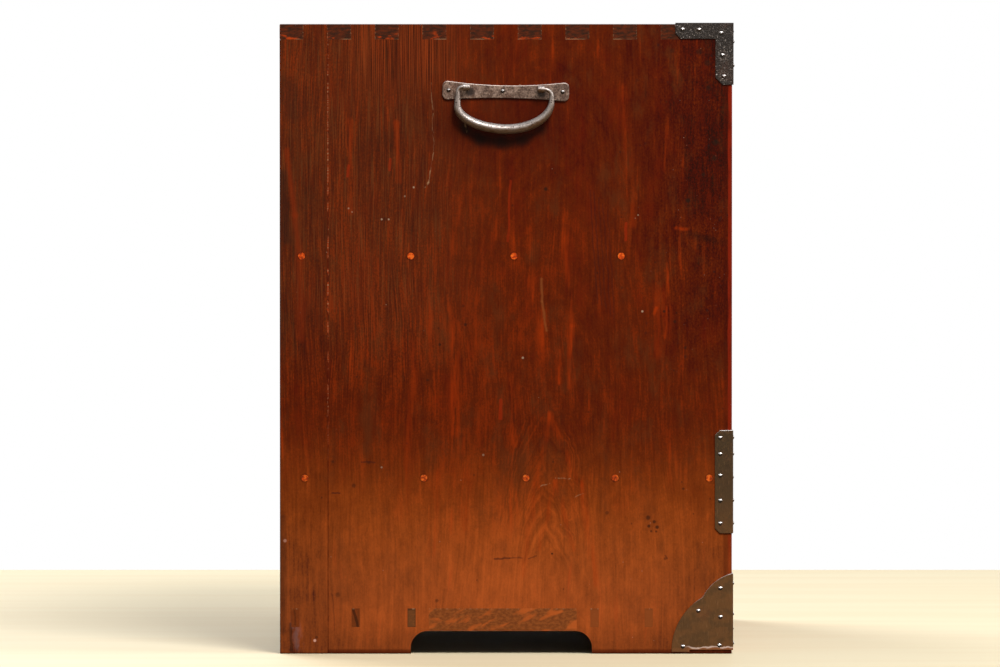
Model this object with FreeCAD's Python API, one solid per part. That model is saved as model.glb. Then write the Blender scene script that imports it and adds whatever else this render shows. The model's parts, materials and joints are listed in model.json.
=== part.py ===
import FreeCAD, Part
import math
import os

# A small tansu: a free-standing wooden chest with a hinged cupboard door beside a column of
# three small drawers, over one wide drawer, dressed with black iron. Millimetres. +X is to the
# right of someone facing the front, the front faces -Y, +Z is up, and the origin is on the
# floor under the middle of the whole object, pulls included.

Vec = FreeCAD.Vector

# ---- Case ------------------------------------------------------------------------------
case_width = 500.0
case_depth = 400.0
case_height = 557.0
side_thickness = 15.0
top_thickness = 13.5
finger_count = 19            # fingers along each top corner joint, an odd number
rear_board_fingers = 2       # each side's rear board is this many fingers wide
foot_height = 20.0           # floor to the underside of the bottom board
bottom_thickness = 20.0
divider_thickness = 14.0
divider_middle = 155.5       # floor to the middle of the divider's thickness
shelf_thickness = 12.0
shelf_below_middle = 1.0     # shelf's middle under the cupboard's
housing_depth = 4.0          # how far shelves, rails and apron are let into their neighbours
back_thickness = 8.0
back_rebate = 7.0            # how far the back boards reach into each side
back_board_count = 3
side_arch_length = 160.5
side_arch_corner = 15.0
side_arch_set_back = 4.0     # the side arch's middle, behind the side's middle
apron_thickness = 16.0
apron_arch_height = 11.0
apron_arch_length = 296.0
apron_arch_corner = 9.0
partition_thickness = 14.0
door_bay_width = 235.0
rail_thickness = 12.0
rail_depth = 30.0
runner_width = 12.0
edge_chamfer = 0.8           # softened arrises of door and drawer fronts
front_set_back = 12.0        # door and drawer fronts stand this far back in the case's front,
                             # so that pulls, ring and hinges stay behind its edges

# The bottom board's through tenons: where each middle stands, as shares of the case's depth
# from the rear edge, and their sizes.
narrow_tenon_places = (0.034, 0.1675, 0.29125, 0.69625, 0.816)
narrow_tenon_width = 7.2
narrow_tenon_height = 16.5
wide_tenon_place = 0.49325
wide_tenon_width = 131.0

# ---- Wooden pegs -----------------------------------------------------------------------
peg_radius = 3.0
peg_length = 38.0
peg_proud = 0.3
peg_fit = 0.03               # radial clearance round pegs and nails
# Where the pegs stand, as shares of the case's depth from the rear edge.
shelf_peg_places = (0.04825, 0.28975, 0.518, 0.755)
divider_peg_places = (0.055, 0.3185, 0.5445, 0.74175, 0.95)
rail_peg_place = 10.0        # from the front edge
back_peg_radius = 1.3
back_peg_length = 22.0
back_peg_inset = 35.0        # from a back board's edge
back_side_pegs = 4           # pegs down each side's rebate

# ---- Iron sheet and nails --------------------------------------------------------------
iron_thickness = 1.2
nail_head_radius = 1.9
nail_head_height = 1.1
nail_shank_radius = 0.9
nail_length = 9.0

corner_reach = 50.2          # top corner: length of its level arm
corner_drop = 53.6           # length of its upright arm
corner_arm_height = 13.0
corner_arm_width = 14.7
corner_clip = 5.0            # cut across the level arm's inner end
corner_drop_clip = 6.4       # and across the upright arm's
# Nails of the top corner on the side and on the front: in from the upright edge, and down.
corner_nails = ((43.8, 4.6), (29.2, 4.8), (9.8, 7.8), (8.4, 27.4), (7.2, 46.0))
corner_front_nails = ((43.0, 6.2), (27.5, 6.4), (7.4, 15.5), (6.8, 36.5))

strap_height = 91.4
strap_below_divider = 3.3    # the strap's middle lies this far under the divider's middle
strap_width = 15.0
strap_clip = 4.4
strap_arm = 46.0             # front arm along the divider's edge
strap_nails = (39.1, 24.6, 5.6, -16.6, -36.8)          # heights from the strap's middle
strap_nail_inset = 10.4
strap_arm_nails = (0.1, 0.5, 0.88)                     # as shares of the front arm

foot_plate_height = 71.5
foot_plate_reach = 53.4
foot_plate_gap = 1.4         # floor to the plate at its toe
foot_plate_worn_gap = 3.2    # floor to the plate where its lower edge is worn
foot_plate_worn = 37.4       # length of that worn edge
foot_plate_upper_bulge = 3.8     # how far the upper of its two lobes bows out
foot_plate_lower_bulge = 7.6
foot_plate_cusp = (25.8, 50.0)                         # in from the upright edge, and up
foot_plate_nails = ((10.2, 58.0), (29.7, 38.0), (10.0, 32.5), (43.3, 6.4), (11.0, 7.3))
foot_front_reach = 50.0
foot_front_height = 34.0
foot_front_nails = ((7.0, 62.0), (7.0, 35.0), (7.0, 9.0), (21.0, 21.0), (40.0, 8.0))

# ---- Carrying handles on the sides -----------------------------------------------------
# Pairs are for the viewer's left end and right end of a handle, or for above and below.
carry_pivot_drop = 56.7      # case's top down to the pivot
carry_set_back = 1.9         # the handle's middle, behind the side's middle
carry_left_plate_tilt = -0.9     # degrees: the left handle was nailed on by eye
carry_left_pivot_tilt = -1.7
carry_plate_length = 112.0
carry_plate_end = 16.4
carry_plate_waist = (4.9, 6.1)
carry_plate_corner = 4.6
carry_plate_thickness = 2.0
carry_plate_drop = 2.4       # plate's middle below the pivot
carry_plate_shift = 1.9      # plate's middle to the right of the pivot's
carry_nail_places = (-50.6, -2.8, 50.2)                # from the plate's middle
carry_eye_spread = 33.3      # pivot eye's middle from the handle's middle
carry_eye_width = 5.6
carry_eye_wall = 1.2
carry_eye_standoff = 5.0     # pivot axis out from the plate's face
carry_bail_half = (40.5, 42.6)   # centreline of the bail, at its widest
carry_bail_shoulder = (16.1, 10.5)   # pivot down to where each half is widest
carry_bail_drop = 36.0
carry_bail_low_point = 2.0   # the lowest point, to the right of the middle
carry_bail_end_radius = 1.7
carry_bail_middle_radius = 4.2

# ---- Drawer pulls ----------------------------------------------------------------------
pull_plate_length = 72.0
pull_plate_end = 12.0
pull_plate_waist = (4.1, 4.1)
pull_plate_corner = 3.6
pull_plate_thickness = 1.4
pull_plate_drop = 1.6
pull_eye_spread = 21.0
pull_eye_width = 4.4
pull_eye_wall = 1.1
pull_eye_standoff = 4.0
pull_bail_half = (27.0, 27.0)
pull_bail_shoulder = (8.4, 8.4)
pull_bail_drop = 23.5
pull_bail_low_point = 0.0
pull_bail_end_radius = 1.3
pull_bail_middle_radius = 2.6
pull_nail_places = (-32.0, 0.0, 32.0)
pull_above_middle = 10.0     # pivot above the middle of a drawer front
wide_pull_spread = 135.0     # each pull of the wide drawer from the case's middle

bail_clearance = 0.2         # radial play of a bail's end in its eye
bail_stub_gap = 0.6          # play between an eye and the bail's shoulder or head
bail_head_length = 1.6
bail_head_step = 0.8
eye_shank_share = 0.9        # eye shank radius as a share of the bail's end radius
eye_shank_length = 11.0

# ---- Door ------------------------------------------------------------------------------
door_thickness = 16.0
door_gap = 1.0
door_stop_gap = 0.5          # door's back to the shelf's edge, which stops it
cleat_height = 30.0
cleat_tongue = 6.0
cleat_tongue_thickness = 6.0

hinge_height = 42.0
hinge_inset = 65.0           # middle of each hinge from the door's end
hinge_leaf_thickness = 1.4
hinge_leaf_inset = 0.6       # case leaf's edge behind the case's front
hinge_door_leaf = 38.0
hinge_leaf_tip = 9.0         # how far the door leaf tapers to its tip
hinge_nail_edge = 2.4        # case leaf's nails from its outer edge
hinge_door_nail = 12.0       # door leaf's first nails from the pin
hinge_nail_share = 0.68      # their height, as a share of half the hinge
hinge_knuckle_radius = 3.4
hinge_pin_radius = 1.6
hinge_pin_clearance = 0.1
hinge_knuckle_lift = 0.2
hinge_knuckle_gap = 0.3      # between knuckles along the pin
hinge_notch_gap = 0.35       # round a knuckle, in the other leaf
hinge_leaf_gap = 0.25        # each leaf's edge from the pin's axis
hinge_centre_knuckle = 14.0
hinge_pin_head_radius = 2.7
hinge_pin_head = 1.4

lock_plate_width = 42.0
lock_plate_height = 52.0
lock_plate_thickness = 1.2
lock_plate_notch = 0.64      # its notches, as a share of the way out to its corners
lock_nail_inset = 6.0        # nails from a lock plate's rim
lock_from_edge = 27.0        # lock's middle from the door's free edge
lock_above_middle = 19.0     # lock's middle above the cupboard's
keyhole_radius = 2.4
keyhole_slot_width = 2.2
keyhole_slot_length = 7.0
keyhole_depth = 9.0
bolt_length = 24.0
bolt_height = 9.0
bolt_thickness = 5.0
bolt_clearance = 0.2
bolt_travel = 7.0
bolt_set_back = 0.6          # drawn bolt's end behind the edge
strike_end_gap = 1.0         # mortise left beyond the thrown bolt
bolt_beside_key = 11.0       # bolt's middle from the keyhole's middle
wide_lock_diameter = 50.0

ring_rose_radius = 14.0
ring_rose_thickness = 1.2
ring_rose_dome = 1.6
ring_eye_radius = 3.0        # centreline of the eye's loop
ring_eye_wire = 1.2
ring_radius = 15.0           # centreline of the ring
ring_wire = 1.6
ring_from_lock = 62.0        # eye below the lock's middle

# ---- Drawers ---------------------------------------------------------------------------
drawer_front_thickness = 15.0
drawer_side_thickness = 8.0
drawer_bottom_thickness = 5.0
drawer_lap = 8.0             # how far sides and bottom run into the front's rebates
drawer_back_gap = 16.0       # closed drawer's back to the back boards
drawer_side_gap = 0.8
drawer_top_gap = 1.2
drawer_seat_gap = 0.2
drawer_side_below_front = 4.0
drawer_fingers = 5

# ---- Worked out from the above ---------------------------------------------------------
ring_eye_out = ring_rose_thickness + ring_rose_dome + ring_eye_radius + ring_eye_wire
front_reach = iron_thickness + nail_head_height
rear = (case_depth + front_reach) / 2
front = rear - case_depth
face_front = front + front_set_back
half = case_width / 2
inner = half - side_thickness
top_under = case_height - top_thickness
bottom_top = foot_height + bottom_thickness
divider_top = divider_middle + divider_thickness / 2
divider_under = divider_middle - divider_thickness / 2
back_front = rear - back_thickness
finger_pitch = case_depth / finger_count
rear_seam = rear - rear_board_fingers * finger_pitch
partition_left = -inner + door_bay_width
partition_right = partition_left + partition_thickness
bay_height = (top_under - divider_top - 2 * rail_thickness) / 3
depth_middle = (front + rear) / 2
door_left = -inner + door_gap
door_right = partition_left - door_gap
door_low = divider_top + door_gap
door_high = top_under - door_gap
door_back = face_front + door_thickness
cupboard_middle = (divider_top + top_under) / 2
shelf_middle = cupboard_middle - shelf_below_middle
carry_pivot_height = case_height - carry_pivot_drop
hinge_low = door_low + hinge_inset
hinge_high = door_high - hinge_inset
door_lock_height = cupboard_middle + lock_above_middle
drawer_length = case_depth - front_set_back - back_thickness - drawer_back_gap
lock_x = door_right - lock_from_edge
ring_height = door_lock_height - ring_from_lock
hinge_out = hinge_knuckle_radius + hinge_knuckle_lift
hinge_x = -inner + hinge_out
wide_lock_height = (bottom_top + divider_under) / 2
wide_lock_radius = wide_lock_diameter / 2


# ---- Building blocks -------------------------------------------------------------------
def block(x0, x1, y0, y1, z0, z1):
    """A box between two corners."""
    return Part.makeBox(x1 - x0, y1 - y0, z1 - z0, Vec(x0, y0, z0))


def joined(shapes):
    """Several touching or overlapping shapes as one solid."""
    whole = shapes[0].multiFuse(shapes[1:]) if len(shapes) > 1 else shapes[0]
    return whole.removeSplitter()


def group(shapes):
    """Separate solids as one compound."""
    return Part.makeCompound([solid for shape in shapes for solid in shape.Solids])


def rounded(points):
    """A closed wire through (x, y) corners, where a third value rounds the corner by that radius."""
    corners = []
    count = len(points)
    for i, point in enumerate(points):
        here = Vec(point[0], point[1], 0)
        radius = point[2] if len(point) > 2 else 0
        if not radius:
            corners.append((here, here, here))
            continue
        before = Vec(points[i - 1][0], points[i - 1][1], 0)
        after = Vec(points[(i + 1) % count][0], points[(i + 1) % count][1], 0)
        back = (before - here).normalize()
        ahead = (after - here).normalize()
        half_angle = math.acos(max(-1, min(1, back.dot(ahead)))) / 2
        run = radius / math.tan(half_angle)
        bisector = (back + ahead).normalize()
        middle = here + bisector * (radius / math.sin(half_angle) - radius)
        corners.append((here + back * run, middle, here + ahead * run))
    edges = []
    for i, (start, middle, end) in enumerate(corners):
        if start != end:
            edges.append(Part.Arc(start, middle, end).toShape())
        following = corners[(i + 1) % count][0]
        if end.distanceToPoint(following) > 1e-6:
            edges.append(Part.LineSegment(end, following).toShape())
    return Part.Wire(edges)


def sheet(wire, thickness, base=0.0):
    """A flat plate with the wire's outline, from base up to base + thickness along local Z."""
    plate = Part.Face(wire).extrude(Vec(0, 0, thickness))
    plate.translate(Vec(0, 0, base))
    return plate


def place(shape, face, along, height, tilt=0.0):
    """Puts a shape drawn in a face's own frame onto that face of the case.

    In the face's frame local X runs to the viewer's right, Y up and Z towards the viewer.
    along is X on the front and on the inset door and drawer fronts, and Y on a side or inside
    the left side.
    """
    upright = FreeCAD.Rotation(Vec(1, 0, 0), 90)
    turns = {"front": 0, "inset": 0, "left": -90, "right": 90, "inside": 90}
    origins = {
        "front": Vec(along, front, height),
        "inset": Vec(along, face_front, height),
        "left": Vec(-half, along, height),
        "right": Vec(half, along, height),
        "inside": Vec(-inner, along, height),
    }
    rotation = FreeCAD.Rotation(Vec(0, 0, 1), turns[face]).multiply(upright)
    rotation = rotation.multiply(FreeCAD.Rotation(Vec(0, 0, 1), tilt))
    moved = shape.copy()
    moved.Placement = FreeCAD.Placement(origins[face], rotation).multiply(shape.Placement)
    return moved


def revolved(profile, axis_point=Vec(0, 0, 0), axis=Vec(0, 0, 1)):
    """A closed wire turned all the way round an axis."""
    return Part.Solid(Part.Face(profile).revolve(axis_point, axis, 360).Shells[0])


def nail(x, y, seat):
    """A domed nail through a plate: its head sits on local Z = seat, its shank goes down."""
    rim = Vec(nail_head_radius, 0, seat)
    crown = Vec(0, 0, seat + nail_head_height)
    sweep = 2 * math.atan2(nail_head_height, nail_head_radius)
    dome_radius = nail_head_radius / math.sin(sweep)
    bow = Vec(
        dome_radius * math.sin(sweep / 2),
        0,
        seat + nail_head_height - dome_radius * (1 - math.cos(sweep / 2)),
    )
    neck = Vec(nail_shank_radius, 0, seat)
    foot = Vec(nail_shank_radius, 0, seat - nail_length)
    tip = Vec(0, 0, seat - nail_length)
    profile = Part.Wire(
        [
            Part.Arc(crown, bow, rim).toShape(),
            Part.LineSegment(rim, neck).toShape(),
            Part.LineSegment(neck, foot).toShape(),
            Part.LineSegment(foot, tip).toShape(),
            Part.LineSegment(tip, crown).toShape(),
        ]
    )
    solid = revolved(profile)
    solid.translate(Vec(x, y, 0))
    return solid


def nail_hole(x, y, seat):
    """The hole that a nail's shank fills."""
    return Part.makeCylinder(
        nail_shank_radius + peg_fit,
        nail_length + peg_fit,
        Vec(x, y, seat - nail_length - peg_fit),
    )


def mirrored(shapes):
    """Copies of shapes on the other side of the case."""
    return [shape.mirror(Vec(0, 0, 0), Vec(1, 0, 0)) for shape in shapes]


def placed(shapes, *where):
    """Several shapes put on one face together."""
    return [place(shape, *where) for shape in shapes]


def cut(shape, *tools):
    """A shape less the tools that reach it."""
    near = [tool for tool in tools if tool.BoundBox.intersect(shape.BoundBox)]
    return shape.cut(near).removeSplitter() if near else shape


# ---- Case boards -----------------------------------------------------------------------
def finger(side, index):
    """One finger's space at the top corner of the left (-1) or right (1) side."""
    y0 = front + index * finger_pitch
    x0 = -half if side < 0 else inner
    return block(x0, x0 + side_thickness, y0, y0 + finger_pitch, top_under, case_height)


def top_board():
    """The top, with the sides' fingers showing between its own."""
    board = block(-half, half, front, rear, top_under, case_height)
    gaps = [finger(side, i) for side in (-1, 1) for i in range(1, finger_count, 2)]
    return board.cut(gaps).removeSplitter()


def tenon(side, share, width, z0, z1):
    """One through tenon of the bottom board, up to the side's outer face."""
    x0 = -half if side < 0 else inner
    middle = rear - share * case_depth
    return block(x0, x0 + side_thickness, middle - width / 2, middle + width / 2, z0, z1)


def bottom_board():
    """The bottom board with its through tenons."""
    pieces = [block(-inner, inner, front + apron_thickness, back_front, foot_height, bottom_top)]
    for side in (-1, 1):
        for share in narrow_tenon_places:
            low = bottom_top - narrow_tenon_height
            pieces.append(tenon(side, share, narrow_tenon_width, low, bottom_top))
        pieces.append(tenon(side, wide_tenon_place, wide_tenon_width, foot_height, bottom_top))
    return joined(pieces)


def level_board(x0, x1, y0, y1, middle, thickness):
    """A level board about a mid-height, let into what stands at both ends."""
    low = middle - thickness / 2
    return block(x0 - housing_depth, x1 + housing_depth, y0, y1, low, low + thickness)


def partition_board():
    """The upright between the cupboard and the small drawers, let into divider and top."""
    return block(
        partition_left,
        partition_right,
        front,
        back_front,
        divider_top - housing_depth / 2,
        top_under + housing_depth / 2,
    )


def rail_floor(level):
    """Top face of the small drawers' bearer: 0 is the divider, 1 and 2 the rails."""
    return divider_top + level * (bay_height + rail_thickness)


def drawer_rail(level):
    """The front rail under a small drawer."""
    middle = rail_floor(level) - rail_thickness / 2
    return level_board(partition_right, inner, front, front + rail_depth, middle, rail_thickness)


def drawer_runners(level):
    """Two runners behind a rail, fixed to the partition and to the right side."""
    top = rail_floor(level)
    y0 = front + rail_depth
    left = block(partition_right, partition_right + runner_width, y0, back_front, top - rail_thickness, top)
    right = block(inner - runner_width, inner, y0, back_front, top - rail_thickness, top)
    return [left, right]


def arch(length, height, corner, deep):
    """A low arch to cut up from the floor: local X along, Y up, thick along Z."""
    low = -1.0
    wire = rounded(
        [
            (-length / 2, low),
            (length / 2, low),
            (length / 2, height, corner),
            (-length / 2, height, corner),
        ]
    )
    return sheet(wire, deep, -deep / 2)


def front_apron():
    """The board under the wide drawer, with a low arch between its feet."""
    board = block(
        -inner - housing_depth, inner + housing_depth, front, front + apron_thickness, 0, bottom_top
    )
    opening = arch(apron_arch_length, apron_arch_height, apron_arch_corner, 4 * apron_thickness)
    return cut(board, place(opening, "front", 0, 0))


def back_board(index):
    """One upright board of the back, in the sides' rebates."""
    edge = inner + back_rebate
    width = 2 * edge / back_board_count
    x0 = -edge + index * width
    return block(x0, x0 + width, back_front, rear, foot_height, top_under)


def side_blank(side):
    """A whole side before it is parted into two boards, with its arch and the top's fingers."""
    x0 = -half if side < 0 else inner
    board = block(x0, x0 + side_thickness, front, rear, 0, case_height)
    opening = arch(side_arch_length, foot_height, side_arch_corner, 4 * side_thickness)
    middle = depth_middle + side_arch_set_back
    gaps = [finger(side, i) for i in range(0, finger_count, 2)]
    return cut(board, place(opening, "left" if side < 0 else "right", middle, 0), *gaps)


# ---- Pegs ------------------------------------------------------------------------------
def peg(start, direction, radius, length):
    """A round wooden peg driven from a face."""
    return Part.makeCylinder(radius, length, start, direction)


def side_pegs(grow=0.0):
    """The pegs through both sides into shelf, divider and rails; grow widens them to holes."""
    pegs = []
    radius = peg_radius + grow
    length = peg_length + grow
    for side in (-1, 1):
        outer = side * (half + peg_proud)
        inward = Vec(-side, 0, 0)
        places = [(rear - share * case_depth, divider_middle) for share in divider_peg_places]
        if side < 0:
            places += [(rear - share * case_depth, shelf_middle) for share in shelf_peg_places]
        else:
            for level in (1, 2):
                places.append((front + rail_peg_place, rail_floor(level) - rail_thickness / 2))
        pegs += [peg(Vec(outer, y, z), inward, radius, length) for y, z in places]
    return pegs


def back_pegs(grow=0.0):
    """Bamboo pegs through the back boards into bottom board, divider and the sides."""
    radius = back_peg_radius + grow
    length = back_peg_length + grow
    edge = inner + back_rebate
    width = 2 * edge / back_board_count
    places = []
    for index in range(back_board_count):
        for x in (-edge + index * width + back_peg_inset, -edge + (index + 1) * width - back_peg_inset):
            places += [(x, foot_height + bottom_thickness / 2), (x, divider_middle)]
    step = (top_under - divider_top) / (back_side_pegs + 0.5)
    for side in (-1, 1):
        for i in range(back_side_pegs):
            places.append((side * (inner + back_rebate / 2), divider_top + (i + 0.75) * step))
    return [peg(Vec(x, rear, z), Vec(0, -1, 0), radius, length) for x, z in places]


# ---- Iron fittings of the case ---------------------------------------------------------
def corner_outline(reach, drop, arm_height, arm_width):
    """An angle with clipped inner ends; its corner is at the origin, and it runs to -X and -Y."""
    return rounded(
        [
            (iron_thickness, iron_thickness),
            (-reach, iron_thickness),
            (-reach, corner_clip - arm_height),
            (corner_clip - reach, -arm_height),
            (-arm_width, -arm_height),
            (-arm_width, corner_drop_clip - drop),
            (corner_drop_clip - arm_width, -drop),
            (iron_thickness, -drop),
        ]
    )


def top_corner_left():
    """The three-way iron corner on the left: angles on side, front and top in one piece."""
    t = iron_thickness
    side_outline = corner_outline(corner_reach, corner_drop, corner_arm_height, corner_arm_width)
    on_side = place(sheet(side_outline, t), "left", front, case_height)
    front_width = side_thickness - door_gap
    front_height = top_thickness - door_gap
    front_outline = corner_outline(corner_reach, corner_drop, front_height, front_width)
    front_sheet = mirrored([sheet(front_outline, t)])[0]
    on_front = place(front_sheet, "front", -half, case_height)
    top_outline = corner_outline(corner_reach, corner_reach, corner_arm_width, corner_arm_width)
    on_top = sheet(top_outline, t)
    on_top.rotate(Vec(0, 0, 0), Vec(0, 0, 1), 180)
    on_top.translate(Vec(-half, front, case_height))
    return joined([on_side, on_front, on_top])


def middle_strap_left():
    """The iron strap that wraps the left front edge where the divider is let in."""
    t = iron_thickness
    low = -strap_height / 2
    high = strap_height / 2
    middle = divider_middle - strap_below_divider
    on_side = sheet(
        rounded(
            [
                (t, high),
                (strap_clip - strap_width, high),
                (-strap_width, high - strap_clip),
                (-strap_width, low + strap_clip),
                (strap_clip - strap_width, low),
                (t, low),
            ]
        ),
        t,
    )
    width = side_thickness - door_gap
    arm_high = strap_below_divider + divider_thickness / 2 - door_gap
    arm_low = strap_below_divider - divider_thickness / 2 + door_gap
    tip = width + strap_arm
    on_front = sheet(
        rounded(
            [
                (-t, low),
                (width, low),
                (width, arm_low),
                (tip - strap_clip, arm_low),
                (tip, arm_low + strap_clip),
                (tip, arm_high - strap_clip),
                (tip - strap_clip, arm_high),
                (width, arm_high),
                (width, high),
                (-t, high),
            ]
        ),
        t,
    )
    return joined([place(on_side, "left", front, middle), place(on_front, "front", -half, middle)])


def bowed(start, end, bulge):
    """An arc from start to end that bows out to its left by bulge."""
    chord = end - start
    out = Vec(-chord.y, chord.x, 0).normalize()
    return Part.Arc(start, (start + end) * 0.5 + out * bulge, end).toShape()


def foot_plate_left():
    """The two-lobed iron plate at the left front foot, wrapped onto the apron."""
    t = iron_thickness
    peak = Vec(t, foot_plate_height, 0)
    cusp = Vec(-foot_plate_cusp[0], foot_plate_cusp[1], 0)
    toe = Vec(-foot_plate_reach, foot_plate_gap, 0)
    step = Vec(-foot_plate_worn, foot_plate_gap, 0)
    worn = Vec(-foot_plate_worn, foot_plate_worn_gap, 0)
    heel = Vec(t, foot_plate_worn_gap, 0)
    side_wire = Part.Wire(
        [
            bowed(peak, cusp, -foot_plate_upper_bulge),
            bowed(cusp, toe, -foot_plate_lower_bulge),
            Part.LineSegment(toe, step).toShape(),
            Part.LineSegment(step, worn).toShape(),
            Part.LineSegment(worn, heel).toShape(),
            Part.LineSegment(heel, peak).toShape(),
        ]
    )
    width = side_thickness - door_gap
    shoulder = Vec(width, foot_plate_height, 0)
    inside = Vec(width, foot_front_height, 0)
    front_toe = Vec(foot_front_reach, foot_plate_worn_gap, 0)
    outer_heel = Vec(-t, foot_plate_worn_gap, 0)
    outer_peak = Vec(-t, foot_plate_height, 0)
    front_wire = Part.Wire(
        [
            Part.LineSegment(outer_peak, shoulder).toShape(),
            Part.LineSegment(shoulder, inside).toShape(),
            bowed(inside, front_toe, foot_plate_upper_bulge),
            Part.LineSegment(front_toe, outer_heel).toShape(),
            Part.LineSegment(outer_heel, outer_peak).toShape(),
        ]
    )
    on_side = place(sheet(side_wire, t), "left", front, 0)
    on_front = place(sheet(front_wire, t), "front", -half, 0)
    return joined([on_side, on_front])


def left_fitting_nail_places():
    """Where the left irons are nailed: face, height of the fitting's origin, and x, y from it."""
    band = side_thickness - door_gap
    strap_middle = divider_middle - strap_below_divider
    spots = [("left", case_height, -inward, -down) for inward, down in corner_nails]
    spots += [("front", case_height, inward, -down) for inward, down in corner_front_nails]
    spots += [("left", strap_middle, -strap_nail_inset, height) for height in strap_nails]
    spots += [
        ("front", strap_middle, band / 2, height)
        for height in strap_nails
        if abs(height) > divider_thickness
    ]
    spots += [("front", divider_middle, band + share * strap_arm, 0) for share in strap_arm_nails]
    spots += [("left", 0, -inward, height) for inward, height in foot_plate_nails]
    spots += [("front", 0, inward, height) for inward, height in foot_front_nails]
    return spots


def left_fitting_nails(make):
    """Nails, or their holes, of the left corner, strap and foot plate; make is nail or nail_hole."""
    return [
        place(make(x, y, iron_thickness), face, front if face == "left" else -half, height)
        for face, height, x, y in left_fitting_nail_places()
    ]


# ---- Bail handles ----------------------------------------------------------------------
def waisted_plate(length, end_height, waist, corner, thickness):
    """A long back plate with rounded ends, its long edges bowed in to a waist.

    waist is how far the upper and the lower edge's middles lie from the plate's centreline.
    """
    x = length / 2
    y = end_height / 2
    inset = corner * (1 - math.sqrt(0.5))

    def turn(sx, sy, towards_end):
        along = Vec(sx * (x - corner), sy * y, 0)
        upright = Vec(sx * x, sy * (y - corner), 0)
        middle = Vec(sx * (x - inset), sy * (y - inset), 0)
        ends = (along, middle, upright) if towards_end else (upright, middle, along)
        return Part.Arc(*ends).toShape()

    def long_edge(sy, direction, middle):
        start = Vec(-direction * (x - corner), sy * y, 0)
        end = Vec(direction * (x - corner), sy * y, 0)
        return Part.Arc(start, Vec(0, sy * middle, 0), end).toShape()

    edges = [
        long_edge(1, 1, waist[0]),
        turn(1, 1, True),
        Part.LineSegment(Vec(x, y - corner, 0), Vec(x, corner - y, 0)).toShape(),
        turn(1, -1, False),
        long_edge(-1, -1, waist[1]),
        turn(-1, -1, True),
        Part.LineSegment(Vec(-x, corner - y, 0), Vec(-x, y - corner, 0)).toShape(),
        turn(-1, 1, False),
    ]
    return sheet(Part.Wire(edges), thickness)


def eye(width, bore, wall, standoff, base, shank_radius):
    """A forged eye: a ring about local X at height base + standoff, on a shank into the wood."""
    axis_height = base + standoff
    ring = Part.makeCylinder(bore + wall, width, Vec(-width / 2, 0, axis_height), Vec(1, 0, 0))
    depth = eye_shank_length + axis_height
    shank = Part.makeCylinder(shank_radius, depth, Vec(0, 0, axis_height - depth))
    hole = Part.makeCylinder(bore, 2 * width, Vec(-width, 0, axis_height), Vec(1, 0, 0))
    return joined([ring, shank]).cut(hole)


def half_bow(half_width, shoulder, drop, low_point, stub_end):
    """Stations (u, v, slope) down the right half of a bail's bow, from its stub to its lowest point.

    The centreline turns down through a quarter circle, runs straight to the shoulder, then
    follows a quarter ellipse.
    """
    turn = half_width - stub_end
    stations = [(stub_end, 0.0, 0.0)]
    for step in range(1, 4):
        angle = math.radians(90 - 30 * step)
        u = stub_end + turn * math.cos(angle)
        v = turn * math.sin(angle) - turn
        stations.append((u, v, angle - math.pi / 2))
    wide = half_width - low_point
    deep = drop - shoulder
    for step in range(9):
        angle = math.radians(90.0 * step / 8)
        u = low_point + wide * math.cos(angle)
        v = -shoulder - deep * math.sin(angle)
        slope = math.atan2(-deep * math.cos(angle), -wide * math.sin(angle))
        stations.append((u, v, slope))
    return stations


def bail(half_widths, shoulders, drop, low_point, end_radius, middle_radius, spread, eye_width):
    """A forged bail about local X: a straight stub in each eye, then a bow, thick in its middle.

    Round sections stand square to the centreline, and their radius grows towards the middle.
    """
    stub_start = spread - eye_width / 2 - bail_stub_gap
    stub_end = spread + eye_width / 2 + bail_stub_gap
    right = half_bow(half_widths[1], shoulders[1], drop, low_point, stub_end)
    left = half_bow(half_widths[0], shoulders[0], drop, -low_point, stub_end)
    left = [(-u, v, -2 * math.pi - slope) for u, v, slope in reversed(left[:-1])]
    sections = []
    for u, v, slope in right + left:
        share = min(1.0, -v / drop)
        radius = end_radius + (middle_radius - end_radius) * math.sin(share * math.pi / 2) ** 1.5
        ring = Part.Wire(Part.makeCircle(radius, Vec(0, 0, 0), Vec(1, 0, 0)))
        turn = FreeCAD.Rotation(Vec(0, 0, 1), math.degrees(slope))
        ring.Placement = FreeCAD.Placement(Vec(u, v, 0), turn)
        sections.append(ring)
    pieces = [Part.makeLoft(sections, True, False)]
    for side in (-1, 1):
        inward = Vec(-side, 0, 0)
        outer = Vec(side * stub_end, 0, 0)
        inner_end = Vec(side * stub_start, 0, 0)
        head_radius = end_radius + bail_head_step
        pieces.append(Part.makeCylinder(end_radius, stub_end - stub_start, outer, inward))
        pieces.append(Part.makeCylinder(head_radius, bail_head_length, inner_end, inward))
    return joined(pieces)


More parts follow.
